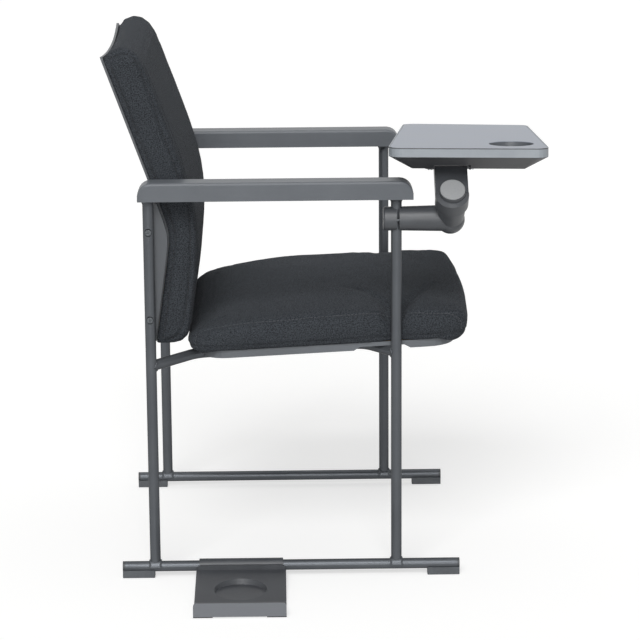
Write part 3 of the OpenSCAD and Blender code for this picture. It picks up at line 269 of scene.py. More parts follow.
# Plywood: rotary-cut beech faces, pale brown with long fine grain along the board
plywood, shader, where = start("beech plywood", "#b08e66", 0.6, IOR=1.5)
fibre_l_mm, fibre_w_mm = 31.25, 2.778
lie = add(plywood, "Mapping", {"Scale": (1000 / fibre_l_mm, 1000 / fibre_w_mm, 1000 / fibre_w_mm)},
          {"Vector": where})
fibre = add(plywood, "TexNoise", {"Scale": 1.0, "Detail": 8.0, "Roughness": 0.6},
            {"Vector": lie.outputs["Vector"]})
tone = add(plywood, "ValToRGB", links={"Fac": fibre.outputs["Fac"]},
           stops=((0.35, "#96754e"), (0.65, "#c2a176")))
relief = add(plywood, "Bump", {"Strength": 0.2, "Distance": 0.0002}, {"Height": fibre.outputs["Fac"]})
join(plywood, shader, {"Base Color": tone.outputs["Color"], "Normal": relief.outputs["Normal"]})
dress(plywood, "seat_board", "back_board")

# Zinc plate: bright silvery steel, a little cloudy, with a gloss that varies in spots
zinc, shader, where = start("zinc-plated steel", "#c3c6c9", 0.3, Metallic=1.0)
zinc_mm = 2.857
bloom = add(zinc, "TexNoise", {"Scale": 1000 / zinc_mm, "Detail": 5.0}, {"Vector": where})
tone = add(zinc, "ValToRGB", links={"Fac": bloom.outputs["Fac"]}, stops=((0.3, "#aeb1b5"), (0.75, "#d4d6d8")))
gloss = add(zinc, "MapRange", {"To Min": 0.22, "To Max": 0.4}, {"Value": bloom.outputs["Fac"]})
join(zinc, shader, {"Base Color": tone.outputs["Color"], "Roughness": gloss.outputs["Result"]})
dress(zinc, "seat_screws", "armrest_screws", "tablet_screws", "hinge_pin", "spring_washers", "hinge_nut")

# Phosphated steel: the screws that show are dark grey and dull, with a greasy cloudiness
phosphate, shader, where = start("phosphated steel", "#55585b", 0.5, Metallic=1.0)
phosphate_mm = 2.381
bloom = add(phosphate, "TexNoise", {"Scale": 1000 / phosphate_mm, "Detail": 5.0}, {"Vector": where})
tone = add(phosphate, "ValToRGB", links={"Fac": bloom.outputs["Fac"]},
           stops=((0.3, "#494c4f"), (0.75, "#64676a")))
join(phosphate, shader, {"Base Color": tone.outputs["Color"]})
dress(phosphate, "back_screws", "clamp_screws")

# Seat cushion
# Moulded foam on the board under a sewn cover of charcoal crepe-woven wool blend.
# The top panel runs over the front and rear; each side is a separate panel set in with a topstitched seam,
# and the cover is pulled under at the rim of the pan, which leaves a dark fold all round.
thread_mm, float_mm, fleck_mm, slub_mm = 1.7, 2.21, 2.4, 2.6
cloth_finish, shader, where = start("charcoal crepe upholstery", "#303236", 0.95, IOR=1.45,
                                    Specular_IOR_Level=0.12, Sheen_Weight=0.06, Sheen_Roughness=0.5)
shader.inputs["Sheen Tint"].default_value = rgb("#c8ccd4")
run_of = add(cloth_finish, "UVMap", uv_map="cloth")
# A band pattern has a wave in each pi / 10 of its scale. Real threads are 0.8 mm apart and are drawn twice as
# coarse, so that they show
warp, weft = [add(cloth_finish, "TexWave", {"Scale": math.pi / 10 * 1000 / thread_mm, "Distortion": 1.6,
                                            "Detail": 1.0, "Detail Scale": 1.3},
                  {"Vector": run_of.outputs["UV"]}, wave_type="BANDS", bands_direction=way) for way in "XY"]
float_of = add(cloth_finish, "TexNoise", {"Scale": 1000 / float_mm, "Detail": 1.0},
               {"Vector": run_of.outputs["UV"]})
over = add(cloth_finish, "Math", {1: 0.5}, {0: float_of.outputs["Fac"]}, operation="GREATER_THAN")
weave = add(cloth_finish, "Mix", links={"Factor": over.outputs["Value"], "A": warp.outputs["Fac"],
                                        "B": weft.outputs["Fac"]}, data_type="FLOAT")
fleck = add(cloth_finish, "TexNoise", {"Scale": 1000 / fleck_mm, "Detail": 2.0, "Roughness": 0.6},
            {"Vector": run_of.outputs["UV"]})
shade = add(cloth_finish, "Math", {1: 0.55}, {0: weave.outputs["Result"], 2: fleck.outputs["Fac"]},
            operation="MULTIPLY_ADD")
# Slubs: thicker spots of the yarn, a few millimetres apart and longer across the chair
drawn = add(cloth_finish, "Mapping", {"Scale": (1.0, 0.25, 1.0)}, {"Vector": where})
slub = add(cloth_finish, "TexNoise", {"Scale": 1000 / slub_mm, "Detail": 3.0, "Roughness": 0.75},
           {"Vector": drawn.outputs["Vector"]})
spots = add(cloth_finish, "MapRange", {"From Min": 0.3, "From Max": 0.7, "To Min": -0.14, "To Max": 0.14},
            {"Value": slub.outputs["Fac"]})
shade = add(cloth_finish, "Math", links={0: shade.outputs["Value"], 1: spots.outputs["Result"]},
            operation="ADD")
tone = add(cloth_finish, "ValToRGB", links={"Fac": shade.outputs["Value"]},
           stops=((0.5, "#16181b"), (0.98, "#4b4f54")))
relief = add(cloth_finish, "Bump", {"Strength": 0.55, "Distance": 0.0005},
             {"Height": weave.outputs["Result"]})
join(cloth_finish, shader, {"Base Color": tone.outputs["Color"], "Normal": relief.outputs["Normal"]})


def points_of(obj):
    """A mesh's points as rows of metres"""
    co = np.empty(len(obj.data.vertices) * 3)
    obj.data.vertices.foreach_get("co", co)
    return co.reshape(-1, 3)


def normals_of(obj):
    """A mesh's point normals as rows"""
    no = np.empty(len(obj.data.vertices) * 3)
    obj.data.vertex_normals.foreach_get("vector", no)
    return no.reshape(-1, 3)


def put_points(obj, co):
    """Writes rows of metres back as a mesh's points"""
    obj.data.vertices.foreach_set("co", np.ascontiguousarray(co).ravel())
    obj.data.update()


form_voxel, merge_m = 0.005, 0.00002


def foam_form(node, name, drawn_in):
    """A copy of a cushion's solid, merged, drawn in a little and remeshed for cloth, all in metres"""
    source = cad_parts[node]
    form = bpy.data.objects.new(name, source.data.copy())
    bpy.context.scene.collection.objects.link(form)
    pick(form)
    bpy.ops.object.mode_set(mode="EDIT")
    bpy.ops.mesh.select_all(action="SELECT")
    bpy.ops.mesh.remove_doubles(threshold=merge_m)
    bpy.ops.mesh.normals_make_consistent(inside=False)
    bpy.ops.transform.shrink_fatten(value=-drawn_in)
    bpy.ops.object.mode_set(mode="OBJECT")
    remesh = form.modifiers.new("remesh", "REMESH")
    remesh.mode = "VOXEL"
    remesh.voxel_size = form_voxel
    bpy.ops.object.modifier_apply(modifier="remesh")
    return form


puff_steps, puff_pressure, puff_cap = 20, 4.0, 0.005


def puff(obj, held):
    """Blows the closed cover up from inside as cloth, with the held points fixed, and caps what each moves"""
    rest = points_of(obj)
    group = obj.vertex_groups.new(name="held")
    group.add([int(i) for i in np.nonzero(held)[0]], 1.0, "REPLACE")
    cover = obj.modifiers.new("cover", "CLOTH")
    cover.settings.quality = 5
    cover.settings.mass = 0.35
    cover.settings.tension_stiffness = 18
    cover.settings.compression_stiffness = 18
    cover.settings.bending_stiffness = 0.6
    cover.settings.use_pressure = True
    cover.settings.uniform_pressure_force = puff_pressure
    cover.settings.effector_weights.gravity = 0
    cover.settings.vertex_group_mass = "held"
    cover.collision_settings.use_collision = False
    cover.point_cache.frame_start = 1
    cover.point_cache.frame_end = puff_steps
    for step in range(1, puff_steps + 1):
        bpy.context.scene.frame_set(step)
    blown = obj.evaluated_get(bpy.context.evaluated_depsgraph_get()).data
    now = np.empty(len(rest) * 3)
    blown.vertices.foreach_get("co", now)
    move = now.reshape(-1, 3) - rest
    length = np.linalg.norm(move, axis=1, keepdims=True)
    move *= np.minimum(1, puff_cap / np.maximum(length, 1e-9))
    obj.modifiers.remove(cover)
    obj.vertex_groups.clear()
    bpy.context.scene.frame_set(1)
    put_points(obj, rest + move)


def refine(obj):
    """One subdivision, applied"""
    pick(obj)
    finer = obj.modifiers.new("finer", "SUBSURF")
    finer.levels = finer.render_levels = 1
    bpy.ops.object.modifier_apply(modifier="finer")
    bpy.ops.object.shade_smooth()


def smooth_path(points, rounds=3):
    """Rounds the corners of a given path by cutting them"""
    points = [Vector(p) for p in points]
    for _ in range(rounds):
        cut = [points[0]]
        for a, b in zip(points, points[1:]):
            cut += [a.lerp(b, 0.25), a.lerp(b, 0.75)]
        points = cut + [points[-1]]
    return points


def even_path(points, step):
    """The same path with points at an even step"""
    co = np.array([tuple(p) for p in points])
    along = np.concatenate([[0], np.cumsum(np.linalg.norm(np.diff(co, axis=0), axis=1))])
    want = np.linspace(0, along[-1], max(int(along[-1] / step), 2))
    return [Vector([float(np.interp(w, along, co[:, k])) for k in range(3)]) for w in want]


def surface_of(obj):
    """A search tree of a mesh's faces"""
    return BVHTree.FromPolygons([v.co for v in obj.data.vertices], [p.vertices for p in obj.data.polygons])


def laid_on(tree, points):
    """Points of a path moved to the nearest spots of a surface, with the surface's normals there"""
    return [tree.find_nearest(p)[:2] for p in points]


def press(obj, path, width, depth, fade=0.0):
    """Presses a soft line along a path into a cover; a depth below 0 raises it, fade weakens it to its end"""
    co, no = points_of(obj), normals_of(obj)
    line = np.array([tuple(p) for p in path])
    reach = 3 * width
    near = np.nonzero(np.all((co > line.min(0) - reach) & (co < line.max(0) + reach), axis=1))[0]
    tree = KDTree(len(line))
    for i, p in enumerate(path):
        tree.insert(p, i)
    tree.balance()
    found = [tree.find(co[i]) for i in near]
    far = np.array([f[2] for f in found])
    along = np.array([f[1] for f in found]) / len(line)
    co[near] -= no[near] * (depth * (1 - fade * along) * np.exp(-(far / width) ** 2))[:, None]
    put_points(obj, co)


def hold_to(obj, tree, short, proud):
    """Keeps each point between short under a form's skin and proud above it, in metres"""
    co = points_of(obj)
    for i, p in enumerate(co):
        p = Vector(p)
        hit, normal, _, _ = tree.find_nearest(p)
        out = (p - hit).dot(normal)
        if out > proud or out < -short:
            co[i] = p - normal * (out - min(max(out, -short), proud))
    put_points(obj, co)


def even_out(obj, rounds):
    """Smooths a cover's surface a little, applied"""
    pick(obj)
    calm = obj.modifiers.new("calm", "SMOOTH")
    calm.factor = 0.5
    calm.iterations = rounds
    bpy.ops.object.modifier_apply(modifier="calm")


top_weight = 1.25


def lay_cloth(obj):
    """Unwraps a cover by the panel that each face belongs to, in metres, so the weave keeps its real size"""
    co = points_of(obj)
    count = len(obj.data.polygons)
    normal = np.empty(count * 3)
    obj.data.polygons.foreach_get("normal", normal)
    normal = np.abs(normal.reshape(-1, 3)) * (1.0, 1.0, top_weight)
    size = np.empty(count, int)
    obj.data.polygons.foreach_get("loop_total", size)
    facing = np.repeat(normal.argmax(1), size)
    corner = np.empty(len(obj.data.loops), int)
    obj.data.loops.foreach_get("vertex_index", corner)
    at_corner = co[corner]
    uv = np.where((facing == 0)[:, None], at_corner[:, [1, 2]],
                  np.where((facing == 1)[:, None], at_corner[:, [0, 2]], at_corner[:, [0, 1]]))
    layer = obj.data.uv_layers.new(name="cloth")
    layer.data.foreach_set("uv", uv.ravel())


def to_seat(co):
    """Rows of metres in the seat frame's own mm"""
    x, y, z = co[:, 0] * 1000 + origin_x, co[:, 1] * 1000 + origin_y, co[:, 2] * 1000 - seat_z
    return np.stack([x * math.cos(seat_tilt) + z * math.sin(seat_tilt), y,
                     z * math.cos(seat_tilt) - x * math.sin(seat_tilt)], axis=1)


def from_seat(local):
    """The other way round"""
    x = local[:, 0] * math.cos(seat_tilt) - local[:, 2] * math.sin(seat_tilt)
    z = local[:, 0] * math.sin(seat_tilt) + local[:, 2] * math.cos(seat_tilt) + seat_z
    return np.stack([(x - origin_x) / 1000, (local[:, 1] - origin_y) / 1000, z / 1000], axis=1)


def rim_reach(way, half_x, half_y, corner_r):
    """How far a rounded rectangle's rim lies from its middle along each heading, all in mm"""
    flat = np.minimum(half_x / np.maximum(way[:, 0], 1e-9), half_y / np.maximum(way[:, 1], 1e-9))
    cx, cy = half_x - corner_r, half_y - corner_r
    ahead_by = way[:, 0] * cx + way[:, 1] * cy
    root = np.maximum(ahead_by ** 2 - cx ** 2 - cy ** 2 + corner_r ** 2, 0)
    in_corner = (way[:, 0] * flat > cx) & (way[:, 1] * flat > cy)
    return np.where(in_corner, ahead_by + np.sqrt(root), flat)


def eased(t):
    """A soft step from 0 to 1"""
    t = np.clip(t, 0, 1)
    return t * t * (3 - 2 * t)


# The foam under the cover: the solid's form with rounder shoulders at the sides, tighter front corners, a top
# that falls more to the back and the front, and a hem that hangs past the pan's rim at both ends. Each row of
# shares holds how far the rear, the front or the sides are drawn in at the heights of at_share.
seat_rim, seat_h, seat_roll = 16.0, 52.0, 40.0
seat_x0, seat_x1, seat_y = 62.0, 534.0, 262.0
at_share = [0, 0.10, 0.25, 0.50, 0.75, 0.92, 0.98, 1]
solid_shares = [(0.34, 0.14, 0.02, 0, 0.08, 0.36, 0.555, 0.62), (0.32, 0.14, 0.03, 0, 0.06, 0.22, 0.37, 0.42),
                (0.24, 0.10, 0.02, 0, 0.04, 0.12, 0.195, 0.22)]
cover_shares = [(0.50, 0.14, 0.02, 0, 0.08, 0.36, 0.49, 0.62), (0.45, 0.18, 0.05, 0, 0.05, 0.17, 0.25, 0.34),
                (0.15, 0.10, 0.02, 0, 0.07, 0.26, 0.43, 0.60)]
rear_r, solid_front_r, cover_front_r, least_r, front_bow = 50.0, 46.0, 38.0, 8, 12
solid_fall, rear_fall, front_fall = 18, 21, 5.5
solid_fall_x, rear_fall_x, front_fall_x = 230, 250, 415
pan_x0, pan_x1, pan_y, pan_r = 86.0, 512.0, 252.0, 44.0
hang_front, hang_rear, hang_ease, hang_share, hang_gap, hang_step = 7, 5, 30, 0.35, 0.5, 3


def beyond_pan(local):
    """How far rows of the seat's mm lie outside the pan's outline, and the way out there"""
    over_x = np.abs(local[:, 0] - (pan_x0 + pan_x1) / 2) - ((pan_x1 - pan_x0) / 2 - pan_r)
    over_y = np.abs(local[:, 1]) - (pan_y - pan_r)
    out_x, out_y = np.maximum(over_x, 0), np.maximum(over_y, 0)
    reach = np.maximum(np.hypot(out_x, out_y), 1e-6)
    way = np.stack([out_x / reach * np.sign(local[:, 0] - (pan_x0 + pan_x1) / 2),
                    out_y / reach * np.sign(local[:, 1])], axis=1)
    return reach - pan_r + np.minimum(np.maximum(over_x, over_y), 0), way


def shape_seat(obj):
    """Moves the points of the solid's copy to the foam's form"""
    local = to_seat(points_of(obj))
    x, y, z = local.T.copy()
    solid_top = seat_h - solid_fall * np.clip((solid_fall_x - x) / (solid_fall_x - seat_x0), 0, 1) ** 2
    foam_top = (seat_h - rear_fall * np.clip((rear_fall_x - x) / (rear_fall_x - seat_x0), 0, 1) ** 2
                - front_fall * np.clip((x - front_fall_x) / (seat_x1 - front_fall_x), 0, 1) ** 1.5)
    share = np.clip((z - seat_rim) / solid_top, 0, 1)
    rise_by = z - seat_rim - share * solid_top
    reach = []
    for shares, corner_cut, front_r in ((solid_shares, 3, solid_front_r), (cover_shares, 2, cover_front_r)):
        rear, front, sides = [np.interp(share, at_share, row) * seat_roll for row in shares]
        mid_x, half_x = (seat_x0 + rear + seat_x1 - front) / 2, (seat_x1 - front - seat_x0 - rear) / 2
        corner_r = np.maximum(np.where(x > mid_x, front_r, rear_r) - (front + sides) / corner_cut, least_r)
        bow = (front_bow * np.clip((x - mid_x) / half_x, 0, 1)
               * (1 - np.clip(np.abs(y) / (seat_y - sides), 0, 1) ** 2))
        if not reach:
            off_x, from_mid = x - bow - mid_x, np.hypot(x - bow - mid_x, y)
            way = np.stack([np.abs(off_x), np.abs(y)], axis=1) / np.maximum(from_mid, 1e-6)[:, None]
        reach.append((rim_reach(way, half_x, seat_y - sides, corner_r), mid_x))
    grow = reach[1][0] / reach[0][0]
    local[:, 0] = reach[1][1] + off_x * grow + bow
    local[:, 1] = y * grow
    beyond, _ = beyond_pan(local)
    hang = (hang_front * eased((local[:, 0] - pan_x1) / hang_ease + 1)
            + hang_rear * eased((pan_x0 - local[:, 0]) / hang_ease + 1))
    hang *= np.clip(1 - share / hang_share, 0, 1) * np.clip((beyond - hang_gap) / hang_step, 0, 1)
    local[:, 2] = seat_rim + share * foam_top + rise_by - hang
    put_points(obj, from_seat(local))


seat = foam_form("seat_cushion", "seat_cover", 0.0)
shape_seat(seat)
foam = surface_of(seat)
local = to_seat(points_of(seat))
held_z, held_y, held_x = 6, 235, 30
beside_post = (np.abs(local[:, 1]) > held_y) & (np.abs(local[:, 0] - bow_l) < held_x)
puff(seat, (local[:, 2] < seat_rim + held_z) | beside_post)
refine(seat)
short, close, proud, free = 0.0004, 0.0002, 0.0014, 1.0
hold_to(seat, foam, short, proud)
even_out(seat, 4)
hold_to(seat, foam, close, proud)

# Side seams: up from the hem round the rear corner, along the shoulder and down round the front corner
seam_side = [(77, 244, 19), (75, 245, 30), (75, 242, 38), (79, 239, 45), (87, 238, 50), (98, 238, 53.5),
             (112, 239, 56.5), (130, 241, 59), (152, 244, 61), (185, 248.5, 62.5), (220, 250.5, 63),
             (255, 250, 64.5), (290, 248, 65.8), (330, 247, 66.3), (370, 247, 66.2), (405, 248, 65.5),
             (443, 250.5, 63.6), (470, 252, 61), (492, 252.5, 60.2), (505, 252, 58.6), (515, 251, 54.5),
             (521.5, 249.5, 49), (525.5, 248, 42.5), (526.5, 247.5, 35), (525, 247, 26)]
seam_step, seam_w, seam_d = 0.0015, 0.0038, 0.0022
roll_below, roll_w, roll_d = Vector((0, 0, 0.010)), 0.008, 0.0006
skin = surface_of(seat)
seat_seams = {}
for side, hand in ((-1, "right"), (1, "left")):
    path = even_path(smooth_path([at(*on_seat(x, side * y, z)) for x, y, z in seam_side]), seam_step)
    seat_seams[hand] = laid_on(skin, path)
for hand, hits in seat_seams.items():
    press(seat, [p for p, _ in hits], seam_w, seam_d)
    press(seat, [p - roll_below for p, _ in hits], roll_w, -roll_d)

# Two folds rise from each front post, where the cushion is pressed in between the posts. Its side dips beside
# the post, and the cloth swells along the folds. They are slight on the left, whose edge runs smooth in the
# photograph.
fold_behind = [(400, 247, 62), (401, 236, 66), (401, 215, 70), (396, 188, 73), (388, 165, 74), (378, 146, 75),
               (366, 121, 76), (350, 104, 77), (335, 90, 77)]
fold_ahead = [(424, 247, 62), (427, 236, 66), (432, 218, 70), (438, 196, 72), (446, 177, 73), (455, 158, 73),
              (467, 130, 72), (479, 98, 71), (491, 68, 69)]
dip = [(412, 250, 66), (412, 257, 58), (412, 258, 50), (412, 258, 42)]
swell_behind = [(386, 246, 60), (374, 238, 65), (358, 222, 70), (340, 195, 74)]
swell_ahead = [(438, 246, 58), (450, 238, 62), (463, 222, 67), (476, 195, 70)]
fold_w, fold_d, fold_fade, fold_step = 0.009, 0.0095, 0.85, 0.002
dip_w, dip_d, swell_w, swell_d = 0.013, 0.006, 0.015, 0.0022
for side, strength in ((-1, 1.0), (1, 0.2)):
    for line, width, depth, fade in (
            (fold_behind, fold_w, fold_d, fold_fade), (fold_ahead, fold_w, fold_d, fold_fade),
            (dip, dip_w, dip_d, 0),
            (swell_behind, swell_w, -swell_d, 0), (swell_ahead, swell_w, -swell_d, 0)):
        path = even_path(smooth_path([at(*on_seat(x, side * y, z)) for x, y, z in line]), fold_step)
        press(seat, [p for p, _ in laid_on(skin, path)], width, depth * strength, fade)


def uneven(co, per_m, depth, shift=(0, 0, 0)):
    """A soft unevenness at rows of points, with so many waves to the metre"""
    return np.array([noise.noise(Vector(p) * per_m + Vector(shift)) for p in co]) * depth


# The hem: a fold above the pan's rim, and the cover's slack over the foam, a millimetre in a hand's width
hem_z, hem_w, hem_d = 8.5, 2.2, 0.002
slack_z, slack_ease, slack_proud = 4, 12, 0.0022
co, no = points_of(seat), normals_of(seat)
local = to_seat(co)
side_face = 1 - np.abs(no[:, 2])
hem = np.exp(-((local[:, 2] - seat_rim - hem_z) / hem_w) ** 2) * hem_d * np.clip(side_face, 0, 1)
slack = uneven(co, 13.0, 0.0013) + uneven(co, 34.0, 0.0004, (3, 1, 7))
slack *= np.clip((local[:, 2] - seat_rim - slack_z) / slack_ease, 0, 1)
put_points(seat, co + no * (slack - hem)[:, None])
hold_to(seat, foam, free, slack_proud)

# The underside lies flat on the pan's rim, the hem drawn down past it keeps clear of its skirt, and the front
# posts press the sides in
clear, rim_w, rim_gap = 0.4, 2.5, 0.2
local = to_seat(points_of(seat))
beyond, way = beyond_pan(local)
low = local[:, 2] < seat_rim + rim_gap
local[low & (beyond < -rim_w), 2] = seat_rim + rim_gap
edge = low & (beyond >= -rim_w) & (beyond < clear)
local[edge, :2] += way[edge] * (clear - beyond[edge])[:, None]
co = from_seat(local)
for side in (-1, 1):
    post = at(posts_x, side * side_y, 0)
    off = co[:, :2] - np.array(post[:2])
    far = np.hypot(off[:, 0], off[:, 1])
    inside = far < (post_r + clear) / 1000
    co[inside, :2] += off[inside] * ((post_r + clear) / 1000 / far[inside] - 1)[:, None]
put_points(seat, co)
lay_cloth(seat)
settle(seat, "seat_cover", cloth_finish)
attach(seat, "chair")
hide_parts("seat_cushion")

# Sewing thread: bonded polyester, a shade lighter than the cloth and a little glossy, so it shows as a dotted
# line
thread, shader, where = start("bonded sewing thread", "#4a4d52", 0.65, IOR=1.5)
ply_mm = 0.5
twist = add(thread, "TexWave", {"Scale": math.pi / 10 * 1000 / ply_mm, "Distortion": 1.0},
            {"Vector": where}, bands_direction="DIAGONAL")
tone = add(thread, "ValToRGB", links={"Fac": twist.outputs["Fac"]},
           stops=((0.1, "#404347"), (0.9, "#54575c")))
join(thread, shader, {"Base Color": tone.outputs["Color"]})
stitch_l, stitch_pitch, thread_r = 0.0036, 0.0063, 0.0004
lift_share, end_in_share, end_out_share = 0.35, 0.45, 0.5


def stitch(name, hits, cover, yarn):
    """A row of lockstitches on a cover along surface points; one stitch is made and repeated"""
    tree = surface_of(cover)
    run = []
    for p, _ in hits:
        spot, normal, _, _ = tree.find_nearest(p)
        run.append(spot + normal * thread_r * lift_share)
    run = even_path(smooth_path(run, 1), seam_step)
    curve = bpy.data.curves.new(name + "_run", "CURVE")
    curve.dimensions = "3D"
    spline = curve.splines.new("POLY")
    spline.points.add(len(run) - 1)
    for i, p in enumerate(run):
        spline.points[i].co = (*p, 1)
    guide = bpy.data.objects.new(name + "_run", curve)
    bpy.context.scene.collection.objects.link(guide)
    total = sum((b - a).length for a, b in zip(run, run[1:]))
    deselect()
    bpy.ops.mesh.primitive_cylinder_add(vertices=8, radius=thread_r, depth=stitch_l,
                                        location=(stitch_pitch / 2, 0, 0), rotation=(0, math.pi / 2, 0))
    row = bpy.context.object
    bpy.ops.object.transform_apply(location=True, rotation=True, scale=True)
    bpy.ops.object.mode_set(mode="EDIT")
    bpy.ops.mesh.select_all(action="DESELECT")
    bpy.ops.object.mode_set(mode="OBJECT")
    for face in row.data.polygons:
        face.select = abs(face.normal.x) > 0.9
    bpy.ops.object.mode_set(mode="EDIT")
    bpy.ops.mesh.inset(thickness=thread_r * end_in_share, depth=thread_r * end_out_share, use_individual=True)
    bpy.ops.object.mode_set(mode="OBJECT")
    repeat = row.modifiers.new("repeat", "ARRAY")
    repeat.count = max(int(total / stitch_pitch), 1)
    repeat.use_relative_offset = False
    repeat.use_constant_offset = True
    repeat.constant_offset_displace = (stitch_pitch, 0, 0)
    bend = row.modifiers.new("bend", "CURVE")
    bend.object = guide
    bpy.ops.object.modifier_apply(modifier="repeat")
    bpy.ops.object.modifier_apply(modifier="bend")
    bpy.data.objects.remove(guide)
    bpy.ops.object.shade_smooth_by_angle(angle=math.radians(50))
    settle(row, name, yarn)
    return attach(row, "chair")


for hand, hits in seat_seams.items():
    stitch(f"seat_stitches_{hand}", hits, seat, thread)

# Armrests
# Moulded polypropylene armrests are screwed from below onto the flat steel bars on the post tops.
# Their top edges are softly rounded and their faces have a fine satin grain.
armrest_grey, shader, where = start("moulded polypropylene armrest", "#5f6368", 0.42, IOR=1.49,
                                    Specular_IOR_Level=0.32)
satin_mm, hand_mm = 0.8, 90.91
satin = add(armrest_grey, "TexNoise", {"Scale": 1000 / satin_mm, "Detail": 2.0}, {"Vector": where})
hand_rub = add(armrest_grey, "TexNoise", {"Scale": 1000 / hand_mm, "Detail": 5.0, "Roughness": 0.6},
               {"Vector": where})
tone = add(armrest_grey, "ValToRGB", links={"Fac": hand_rub.outputs["Fac"]},
           stops=((0.3, "#5c6065"), (0.7, "#64686d")))
gloss = add(armrest_grey, "MapRange", {"To Min": 0.36, "To Max": 0.48}, {"Value": hand_rub.outputs["Fac"]})
relief = add(armrest_grey, "Bump", {"Strength": 0.22, "Distance": 0.0001}, {"Height": satin.outputs["Fac"]})
join(armrest_grey, shader, {"Base Color": tone.outputs["Color"], "Roughness": gloss.outputs["Result"],
                            "Normal": relief.outputs["Normal"]})
dress(armrest_grey, "armrest_right", "armrest_left")

# Back shell
# The outer shell is one polypropylene moulding bent at the lumbar line, with an ear on each side
# that the rear posts' screws reach. Its rear has a fine leather grain; brass inserts take the screws.
shell_grey, shader, where = start("moulded back shell", "#4d5055", 0.48, IOR=1.49)
cells = add(shell_grey, "TexVoronoi", {"Scale": 1000 / leather_mm}, {"Vector": where}, feature="SMOOTH_F1")
shell_flow_mm = 142.9
flow = add(shell_grey, "TexNoise", {"Scale": 1000 / shell_flow_mm, "Detail": 3.0}, {"Vector": where})
tone = add(shell_grey, "ValToRGB", links={"Fac": flow.outputs["Fac"]},
           stops=((0.3, "#494c50"), (0.7, "#525559")))
relief = add(shell_grey, "Bump", {"Strength": 0.3, "Distance": 0.00018},
             {"Height": cells.outputs["Distance"]})
join(shell_grey, shader, {"Base Color": tone.outputs["Color"], "Normal": relief.outputs["Normal"]})
dress(shell_grey, "back_shell")

# Brass: turned inserts, warm yellow metal
brass, shader, where = start("turned brass", "#c9a24f", 0.32, Metallic=1.0)
turned_mm = 1.111
tool_mark = add(brass, "TexNoise", {"Scale": 1000 / turned_mm, "Detail": 2.0}, {"Vector": where})
gloss = add(brass, "MapRange", {"To Min": 0.24, "To Max": 0.42}, {"Value": tool_mark.outputs["Fac"]})
tone = add(brass, "ValToRGB", links={"Fac": tool_mark.outputs["Fac"]},
           stops=((0.3, "#b78f3f"), (0.8, "#d6b162")))
join(brass, shader, {"Roughness": gloss.outputs["Result"], "Base Color": tone.outputs["Color"]})
dress(brass, "back_inserts")

# Back cushion
# Foam on a pressed board, with a cover of the same cloth. The front panel wraps over the top and the bottom.
# Each side panel is set in with a topstitched seam, and a welt along the shell is sewn down by a second row.
back = foam_form("back_cushion", "back_cover", 0.0003)
back_foam = surface_of(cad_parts["back_cushion"])
face_x, bend_z, bend_soft = 32.7, 592, 15
steep, gentle = math.tan(math.radians(19.9)), math.tan(math.radians(8.5))


def shell_face(z):
    """How far the shell's bent front face lies ahead of the rear posts at a height, in mm"""
    over_bend = z - bend_z
    return (face_x - (steep - gentle) / 2 * over_bend
            - (steep + gentle) / 2 * (math.sqrt(over_bend ** 2 + bend_soft ** 2) - bend_soft))


def ahead_of_shell(co):
    """How far rows of points lie ahead of the shell's front face, in mm"""
    return co[:, 0] * 1000 + origin_x - np.array([shell_face(z * 1000) for z in co[:, 2]])


held_ahead, short, close, proud, close_proud = 10, 0.0006, 0.0004, 0.0012, 0.001
puff(back, ahead_of_shell(points_of(back)) < held_ahead)
refine(back)
hold_to(back, back_foam, short, proud)
even_out(back, 5)
hold_to(back, back_foam, close, close_proud)
seam_back = [(-62, 238, 888), (-54, 236, 891), (-42, 234, 892.5), (-30, 233, 893), (-22, 233.5, 890),
             (-16.5, 234.5, 885), (-12, 236, 877), (-7.6, 236.7, 866.7), (-0.6, 237.3, 845),
             (11.5, 237.6, 810.5), (27.7, 238.3, 760.6), (44, 238.2, 714.6), (56.5, 237.8, 676.3),
             (62.7, 237.4, 655.9), (67.7, 237.2, 635.4), (69.4, 238.3, 613), (69.8, 239, 590.7),
             (69.3, 239.4, 565.6), (68.2, 239.3, 543), (66.4, 239, 514.6), (63.8, 239, 491.9),
             (59.9, 239, 463.6), (56, 239.7, 443.7), (51.5, 240, 429.6), (45.8, 240, 419.6),
             (37.2, 238.8, 412.3), (27, 238, 408.5)]
welt_ahead, row_ahead, welt_y, welt_z0, welt_z1, row_z1 = 3.5, 9.5, 241, 412, 884, 880
row_w, welt_d, row_d = 0.0026, 0.003, 0.0034
back_seam_w, back_seam_d = 0.0032, 0.0032
skin = surface_of(back)
back_seams, welts, welt_rows = {}, {}, {}
for side, hand in ((-1, "right"), (1, "left")):
    path = even_path(smooth_path([at(x, side * y, z) for x, y, z in seam_back]), seam_step)
    back_seams[hand] = laid_on(skin, path)
    for rows, x, z1 in ((welts, welt_ahead, welt_z1), (welt_rows, row_ahead, row_z1)):
        heights = np.arange(welt_z0, z1, seam_step * 1000)
        rows[hand] = laid_on(skin, [at(shell_face(z) + x, side * welt_y, z) for z in heights])
for hand in back_seams:
    for hits, width, depth in ((back_seams[hand], back_seam_w, back_seam_d), (welts[hand], row_w, welt_d),
                               (welt_rows[hand], row_w, row_d)):
        press(back, [p for p, _ in hits], width, depth)
flat_ahead, slack_over = 4, 14
co, no = points_of(back), normals_of(back)
slack = uneven(co, 12.0, 0.001, (5, 2, 1)) + uneven(co, 36.0, 0.0003, (1, 8, 3))
slack *= np.clip((ahead_of_shell(co) - flat_ahead) / slack_over, 0, 1)
put_points(back, co + no * slack[:, None])
hold_to(back, back_foam, free, proud)
lay_cloth(back)
settle(back, "back_cover", cloth_finish)
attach(back, "chair")
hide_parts("back_cushion")

